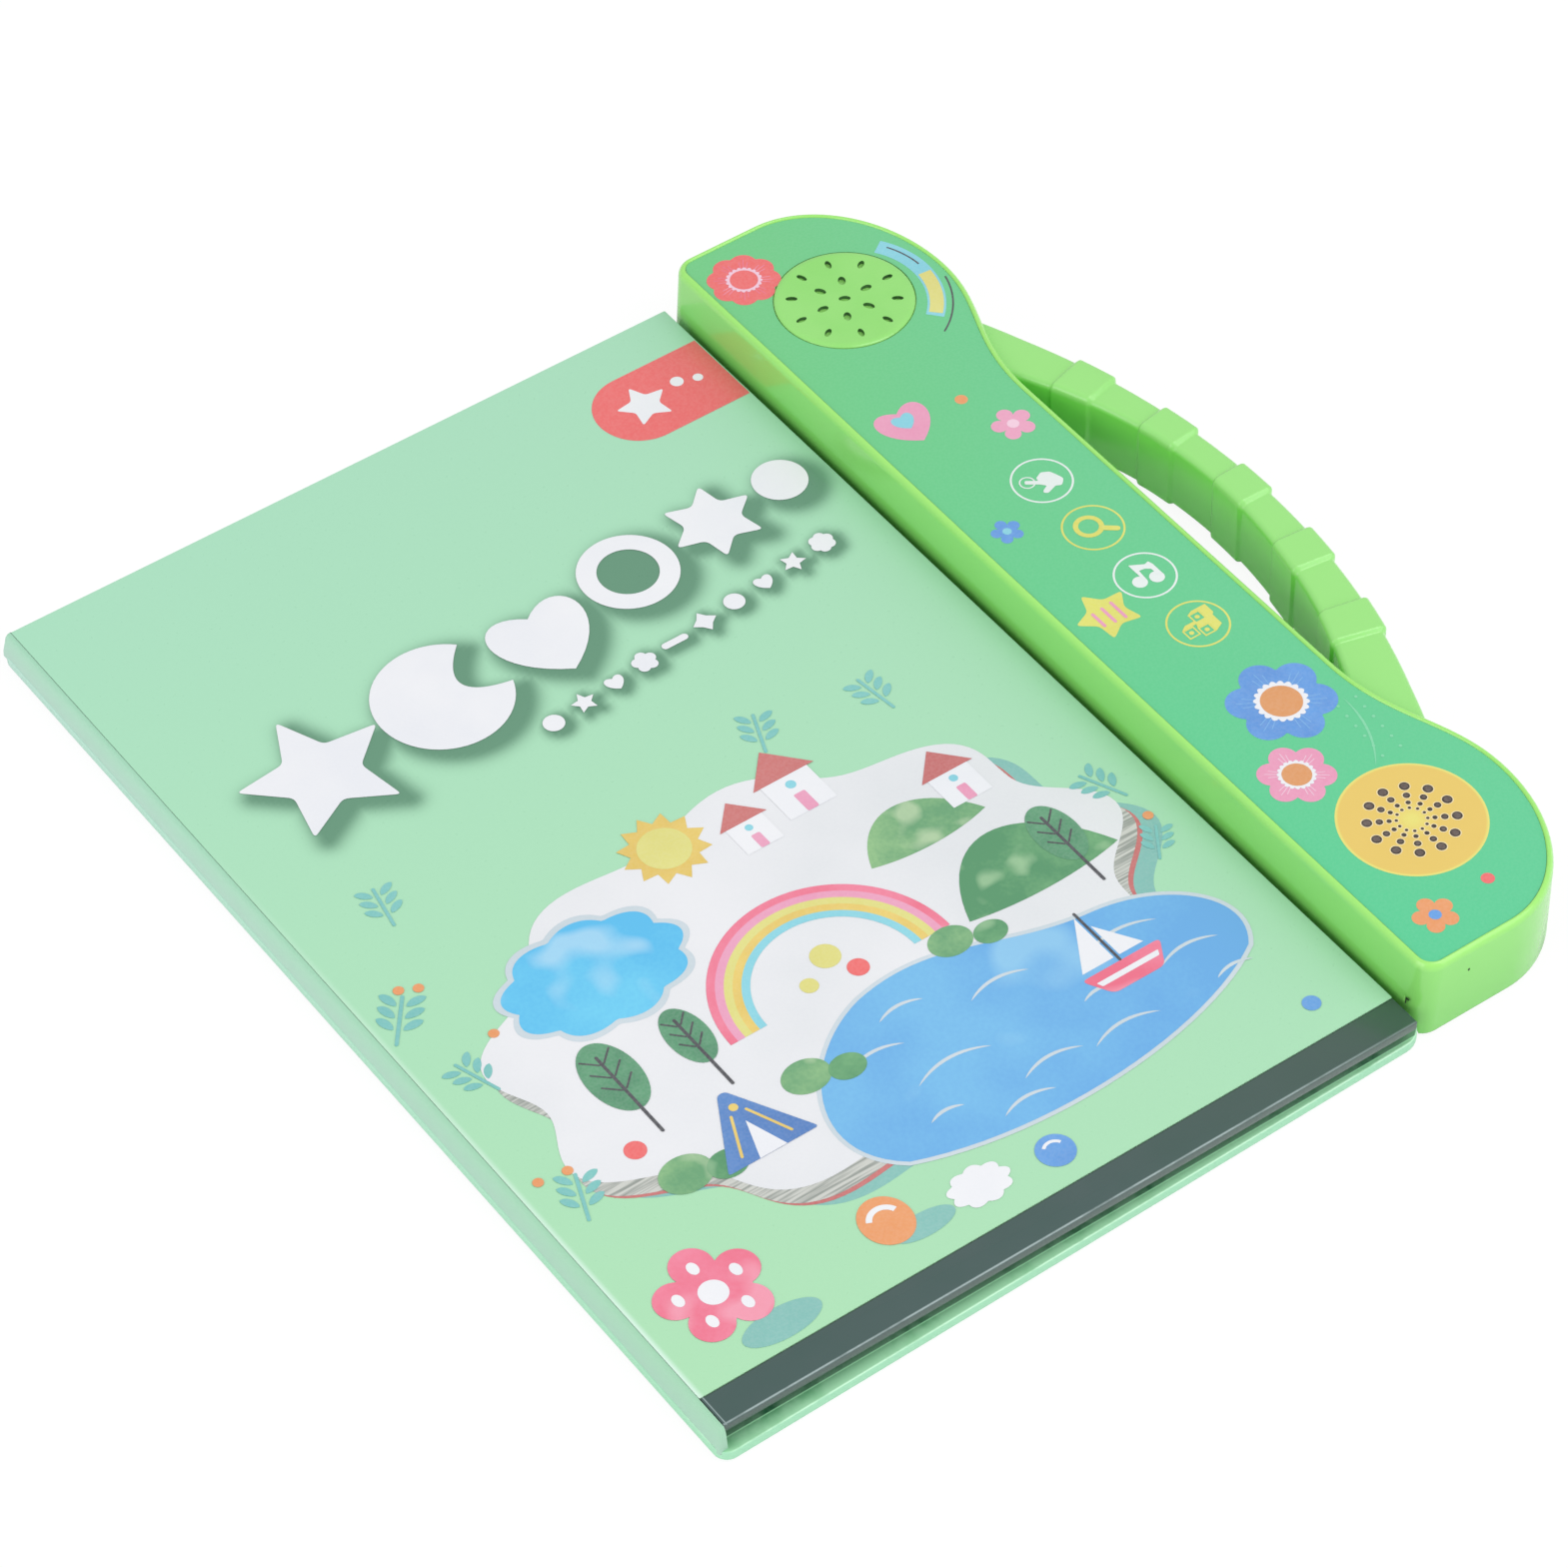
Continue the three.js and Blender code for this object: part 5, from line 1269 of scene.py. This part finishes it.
def icon_blocks(x, y):
    """Three plain blocks with open fronts, one stacked on two, and their solid sides."""
    fronts = []
    for left, low in ((-4.7, -3.1), (-1.1, -4.3), (-0.4, 0.3)):
        side = 3.2
        corners = [(0, 0), (side, 0), (side, side), (0, side)]
        square = np.array(corners, float) + (x + left, y + low)
        fronts.append([square, inset_ring(square, 0.4)[::-1]])
        fronts.append([circle(x + left + side / 2, y + low + side / 2, 0.62, 24)])
    sides = placed(x, y, [
        (-0.4, 3.5), (1.2, 4.2), (5.2, 4.2), (5.2, 1.0), (4.5, 0.3), (4.5, -3.1),
        (2.1, -4.3), (2.1, -1.1), (-1.0, -1.1), (-0.4, 0.3), (2.8, 0.3), (2.8, 3.5),
    ], 0.1)
    top = placed(x, y, [(-4.7, 0.1), (-3.0, 1.2), (-0.4, 1.2), (-0.4, 0.1)], 0.1)
    return fronts, [[sides], [top]]


ICONS = [icon_hand, icon_lens, icon_note, icon_blocks]
for i, icon in enumerate(ICONS):
    y = HOUSING_MID + ((len(ICONS) - 1) / 2 - i) * ICON_PITCH
    ink = ICON_YELLOW if i % 2 else ICON_WHITE
    inner_ring = circle(DISC_X, y, ICON_RADIUS - ICON_LINE, 80)[::-1]
    rings = [circle(DISC_X, y, ICON_RADIUS, 80), inner_ring]
    label_ink(f"icon_{i + 1}_ring", [rings], 0, ink, f"icon_ring_{i + 1}")
    lower, upper = icon(DISC_X, y)
    label_ink(f"icon_{i + 1}_mark", lower, 1, ink)
    label_ink(f"icon_{i + 1}_sign", upper, 2, ink)


def label_flower(name, node, x, y, radius, count, turn, inks):
    """Round-petalled flower: petals with light veins, a scalloped ring and a middle."""
    petal_ink, ring_ink, middle_ink, vein_ink = inks
    centre = on_label(np.array([[x, y]], float))[0]
    reach = radius * LABEL_UNIT[0]
    outline = on_label(petals(x, y, 0.62 * radius, 0.38 * radius, count, turn))
    label_ink(name, [[outline]], 0, petal_ink, node)
    if vein_ink:
        veins = []
        for i in range(count):
            for lean in (-0.16, 0.0, 0.16):
                way = turn + math.tau * i / count + lean
                along = np.array([math.cos(way), math.sin(way)])
                near = centre + 0.46 * reach * along
                far = centre + (0.8 - 0.6 * abs(lean)) * reach * along
                veins.append([capsule(near, far, 0.22, 4)])
        label_ink(name + "_veins", veins, 1, vein_ink)
        frill = scallop(*centre, 0.5 * reach, 0.5 * reach, 20, 0.12)
        label_ink(name + "_frill", [[frill]], 2, ring_ink)
        label_ink(name + "_middle", [[circle(*centre, 0.38 * reach, 48)]], 3, middle_ink)
    else:
        label_ink(name + "_middle", [[circle(*centre, 0.27 * reach, 36)]], 1, middle_ink)


MIDDLE = ink_paint("ink_flower_middle", rgb(226, 160, 104), rgb(220, 150, 92))
PETAL_BLUE = ink_paint("ink_petal_blue", rgb(100, 160, 228), rgb(92, 148, 218), 90.0)
VEIN_BLUE = ink_paint("ink_vein_blue", rgb(128, 184, 236), rgb(120, 176, 230))
VEIN_PINK = ink_paint("ink_vein_pink", rgb(244, 206, 224), rgb(240, 198, 218))
label_flower("flower_blue", "print_flower_blue", 10.1, 29.3, 4.55, 6, 0.5,
             (PETAL_BLUE, WHITE, MIDDLE, VEIN_BLUE))
label_flower("flower_pink", "print_flower_pink", 6, 22.3, 3.2, 6, 0.4,
             (ROSE, WHITE, MIDDLE, VEIN_PINK))
label_flower("flower_orange", "print_flower_orange", 5.2, 4.4, 1.9, 5, 0.3,
             (ORANGE, WHITE, PETAL_BLUE, None))
label_flower("flower_red", "print_flower_red", 4.8, 95.8, 3.2, 8, 0.2,
             (RED, VEIN_PINK, RED, PINK))

# Generic shapes in the place of the other pictures, small blooms and loose dots
CRESCENT = (10.2, 88.12)
crescent = arch(*CRESCENT, 8.4, 6.8, -0.85, 0.6)
label_ink("crescent_blue", [[on_label(crescent)]], 0, AQUA, "print_crescent_blue")
label_ink("crescent_green", [[on_label(arch(*CRESCENT, 8.2, 7.0, -0.8, -0.1))]], 1, LEMON)
label_ink("crescent_lines", [
    [on_label(arch(*CRESCENT, 9.05, 8.9, -1.05, -0.25))],
    [on_label(arch(*CRESCENT, 7.9, 7.75, 0.05, 0.5))],
], 1, CHARCOAL)
label_ink("heart_pink", [[on_label(heart(5.3, 73.3, 2.7))]], 0, ROSE, "print_heart_pink")
label_ink("heart_small", [[on_label(heart(5.3, 73.5, 1.1))]], 1, AQUA)
yellow_star = soften(star(5, 45.4, 2.9, 1.6, 5, 0.5), 0.4)
label_ink("star_yellow", [[on_label(yellow_star)]], 0, ICON_YELLOW, "print_star_yellow")
label_ink("star_stripes", [
    [on_label(capsule((4.0 + i, 44.4 - 0.1 * i), (4.0 + i, 46.0 + 0.1 * i), 0.3, 4))]
    for i in range(3)
], 1, ROSE)
for name, x, y, size, petal_ink, middle_ink in (
    ("bloom_pink", 223.6, 194.9, 5.6, ROSE, VEIN_PINK),
    ("bloom_blue", 200.2, 166.4, 4.1, PETAL_BLUE, AQUA),
):
    label_ink(name, [[petals(x, y, 0.62 * size, 0.36 * size, 5, 0.3)]], 0, petal_ink)
    label_ink(name + "_middle", [[circle(x, y, 0.27 * size, 32)]], 1, middle_ink)
label_ink("loose_dot_orange", [[circle(218.7, 209.0, 1.6, 32)]], 0, ORANGE)
label_ink("loose_dot_red", [[circle(219.2, 15.2, 1.6, 32)]], 0, RED)
FAINT = ink_paint("ink_faint", rgb(128, 216, 170), rgb(122, 212, 164))
label_ink("faint_stem", [[brush((228.8, 77.7), (229.0, 66.0), (221.3, 56.6), 0.6)]], 0, FAINT)
label_ink("faint_dots", [[circle(228.8 + side * 2.6 - 0.35 * i, 76 - 3.6 * i, 0.42, 16)]
                         for i in range(6) for side in (-1, 1)], 1, FAINT)

# Handle: an arched solid bar with five raised collars, moulded in the same green and
# fixed at both lobes.
HANDLE_STAND = HANDLE_REACH - WAIST_RIGHT
HANDLE_FOOT = 0.3236 * HOUSING_LENGTH
ARCH_RADIUS = (HANDLE_FOOT ** 2 + HANDLE_STAND ** 2) / (2 * HANDLE_STAND)
ARCH_X = HANDLE_REACH - ARCH_RADIUS
ARCH_SHORT = 2.4                 # degrees by which the bar ends before the arch, in the lobes
ARCH_END = math.degrees(math.asin(HANDLE_FOOT / ARCH_RADIUS)) - ARCH_SHORT

# Collars, in degrees along the arch, and how far they stand out on each side in mm
COLLARS = 5
COLLAR_PITCH = math.degrees(0.28 * HANDLE_FOOT / ARCH_RADIUS)
COLLAR_LENGTH = math.degrees(0.107 * HANDLE_FOOT / ARCH_RADIUS)
COLLAR_SHIFT = 0.45              # how far the row sits off the middle
COLLAR_STEP = 0.36
COLLAR_IN, COLLAR_OUTWARD, COLLAR_UP, COLLAR_DOWN = 0.6, 0.9, 0.9, 0.5

# Bar between the collars, in millimetres
BAR_DEPTH = 6.3
BAR_FLARE = 0.017                # depth added per square degree from the middle
NEAR_EXTRA = 2.1                 # how much deeper the near half is
NEAR_FROM, NEAR_OVER = 8, 14     # degrees where that starts, and over which it grows
CROWN = 0.8                      # bulge of the outer edge in the middle
CROWN_HALF = 16                  # degrees from the middle to where the bulge is gone
CROWN_LEAST = -0.6               # share of the bulge by which the edge sinks at the feet
BAR_OUT = 0.3
BAR_LOW, BAR_TOP = 1.0, HOUSING_TOP - 2
INNER_EDGE, OUTER_EDGE = 1.8, 1.5


COLLAR_MIDDLES = COLLAR_SHIFT + (np.arange(COLLARS) - (COLLARS - 1) / 2) * COLLAR_PITCH


def collar_raise(angles):
    """One on a collar, nought between collars, with a short rounded step."""
    gap = np.abs(angles[:, None] - COLLAR_MIDDLES).min(axis=1) - COLLAR_LENGTH / 2
    t = np.clip(1 - (gap + 0.05) / COLLAR_STEP, 0, 1)
    return t * t * (3 - 2 * t)


def bar_section(angle, lift):
    """Rounded section of the bar, radius and height pairs, wider toward the feet."""
    inner = BAR_DEPTH + BAR_FLARE * angle ** 2
    inner += NEAR_EXTRA * min(max((NEAR_FROM - angle) / NEAR_OVER, 0), 1)
    outer = BAR_OUT + CROWN * max(1 - (angle / CROWN_HALF) ** 2, CROWN_LEAST)
    return rounded_rect(
        ARCH_RADIUS - inner - COLLAR_IN * lift, ARCH_RADIUS + outer + COLLAR_OUTWARD * lift,
        BAR_LOW - COLLAR_DOWN * lift, BAR_TOP + COLLAR_UP * lift, INNER_EDGE, OUTER_EDGE, 7,
    )


def handle_paint():
    """Painted light: a pale even top, and sides whose painted shade deepens toward the table."""
    paint = Paint("handle_green", 0.24, coat=0.4)
    axes, _ = paint.position()
    # Painted light on the handle: a pale top, and painted shade on the sides changing with height.
    top = paint.ramp(axes[2], (HOUSING_TOP - 3.6) * MM, (HOUSING_TOP - 2.7) * MM)
    side = paint.mix(paint.ramp(axes[2], 6 * MM, 18 * MM), rgb(152, 230, 138), rgb(136, 230, 102))
    cloud = paint.times(paint.ramp(paint.noise(30.0, 2.0), 0.4, 0.65), 0.15)
    tone = paint.mix(top, side, rgb(156, 230, 128))
    paint.colour(paint.mix(cloud, tone, rgb(150, 224, 120)))
    paint.bump(paint.noise(500.0, 2.0), 0.03)
    paint.gloss(paint.math("ADD", paint.times(cloud, 0.4), 0.22))
    return paint.material


def handle_bar():
    """Sections swept about the arch's centre, closer together at the collar steps."""
    step = COLLAR_LENGTH / 2 + np.linspace(-0.1, COLLAR_STEP, 10)
    steps = COLLAR_MIDDLES[:, None] + np.concatenate([-step, step])
    angles = np.unique(np.concatenate([np.linspace(-ARCH_END, ARCH_END, 90), steps.ravel()]))
    sections = np.stack([bar_section(*at) for at in zip(angles, collar_raise(angles))])
    rows, count, _ = sections.shape
    radius, height = sections[..., 0], sections[..., 1]
    turn = np.radians(angles)[:, None]
    x, y = ARCH_X + radius * np.cos(turn), HOUSING_MID + radius * np.sin(turn)
    verts = np.stack([x, y, height], axis=2).reshape(-1, 3)
    outward = [0, 3, 2, 1]           # the sweep runs the other way round than a loft
    faces = grid_faces(rows, count)[:, outward].tolist()
    faces += [range(count), range(len(verts) - count, len(verts))[::-1]]
    return make_mesh("handle_bar", verts, faces, handle_paint(), 55)


handle = handle_bar()
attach(handle, "back_and_housing")
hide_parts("handle")


# Underside and inside: base plate, door, screws, switch, cells, board and speaker keep
# their solids and take their own plain finishes.
def plain_paint(name, colour, rough, metal=0.0):
    """Even finish with a faint mottle and a fine surface texture."""
    paint = Paint(name, rough, metal=metal)
    dark = tuple(0.8 * part for part in colour[:3]) + (1.0,)
    mottle = paint.ramp(paint.noise(300.0), 0.3, 0.7)
    paint.colour(paint.mix(mottle, colour, dark))
    paint.bump(mottle, 0.08, 0.05 * MM)
    return paint.material


STEEL = plain_paint("steel", rgb(190, 194, 198), 0.3, 1.0)
FINISHES = {
    "base_plate": GREEN,
    "battery_door": GREEN,
    "touch_film": plain_paint("film", rgb(201, 162, 90), 0.4),
    "circuit_board": plain_paint("solder_mask", rgb(31, 107, 69), 0.4),
    "speaker_cone": plain_paint("cone_paper", rgb(58, 58, 60), 0.9),
}
BLACK = plain_paint("black_plastic", rgb(38, 40, 42), 0.5)
SLEEVE = plain_paint("battery_sleeve", rgb(93, 111, 134), 0.35)
for name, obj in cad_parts.items():
    if obj.hide_render:
        continue
    if name in FINISHES:
        finish = FINISHES[name]
    elif name.startswith(("battery_1", "battery_2")):
        finish = SLEEVE
    elif name.startswith(("battery_tray", "sound_chip", "switch")):
        finish = BLACK
    else:
        finish = STEEL
    obj.data.materials.clear()
    obj.data.materials.append(finish)

# Stage: pale floor under soft studio light, seen from the photo's angle.
FLOOR_SIZE = 6.0
FLOOR_GAP = 0.5 * MM             # keeps the floor clear of the book's underside


def floor_paint():
    """White ground, almost pure white to the camera, with only a trace of shadow."""
    paint = Paint("white_ground", 0.9)
    paint.colour(paint.mix(paint.noise(3.0), (0.95, 0.95, 0.95, 1), (0.97, 0.97, 0.97, 1)))
    glow = paint.node("Emission", {"Color": (1, 1, 1, 1), "Strength": 1.02})
    seen = paint.node("LightPath").outputs["Is Camera Ray"]
    blend = paint.node("MixShader", {0: paint.times(seen, 0.9)})
    paint.links.new(paint.shader.outputs[0], blend.inputs[1])
    paint.links.new(glow.outputs[0], blend.inputs[2])
    output = paint.nodes["Material Output"]
    paint.links.new(blend.outputs[0], output.inputs["Surface"])
    return paint.material


bpy.ops.mesh.primitive_plane_add(size=FLOOR_SIZE, location=(0, 0, -FLOOR_GAP))
ground = bpy.context.object
ground.name = "ground"
ground.data.materials.append(floor_paint())


def soft_light(name, location, size, power):
    """Large square area light aimed at the middle of the book."""
    data = bpy.data.lights.new(name, "AREA")
    data.size = size
    data.energy = power
    lamp = bpy.data.objects.new(name, data)
    lamp.location = location
    lamp.rotation_euler = (-Vector(location)).to_track_quat("-Z", "Y").to_euler()
    bpy.context.scene.collection.objects.link(lamp)
    return lamp


soft_light("key_light", (0.5, -0.6, 1.5), 1.0, 7.5)
soft_light("fill_light", (1.0, -1.4, 0.8), 1.2, 6.0)
soft_light("side_light", (-1.4, -0.2, 0.6), 1.2, 7.5)

WORLD_STRENGTH = 0.66
world = bpy.data.worlds.new("studio")
bpy.context.scene.world = world
world.use_nodes = True
world.node_tree.nodes["Background"].inputs[0].default_value = (1.0, 1.0, 1.0, 1.0)
world.node_tree.nodes["Background"].inputs[1].default_value = WORLD_STRENGTH

# Camera: solved from the four corners of the front cover in the photo
PHOTO_SIDE = 1569
FOCAL = 6093.86                  # focal length in photo pixels
SENSOR = 36.0                    # sensor width in millimetres
CAMERA_PLACE = (-426.53, -642.74, 1020.31)
RIGHT = (0.8117, -0.5838, -0.0160)
DOWN = (-0.4335, -0.5842, -0.6860)
AHEAD = (0.3913, 0.5638, -0.7273)

camera_data = bpy.data.cameras.new("photo_camera")
camera_data.sensor_width = SENSOR
camera_data.lens = SENSOR * FOCAL / PHOTO_SIDE
camera_data.clip_start = 0.05
camera_data.clip_end = 20.0
camera = bpy.data.objects.new("photo_camera", camera_data)
bpy.context.scene.collection.objects.link(camera)
bpy.context.scene.camera = camera
axes = Matrix((RIGHT, tuple(-v for v in DOWN), tuple(-v for v in AHEAD))).transposed()
camera.location = (Vector(CAMERA_PLACE) - Vector((MID_X, MID_Y, 0))) * MM
camera.rotation_euler = axes.to_euler()

bpy.context.scene.view_settings.view_transform = "Standard"
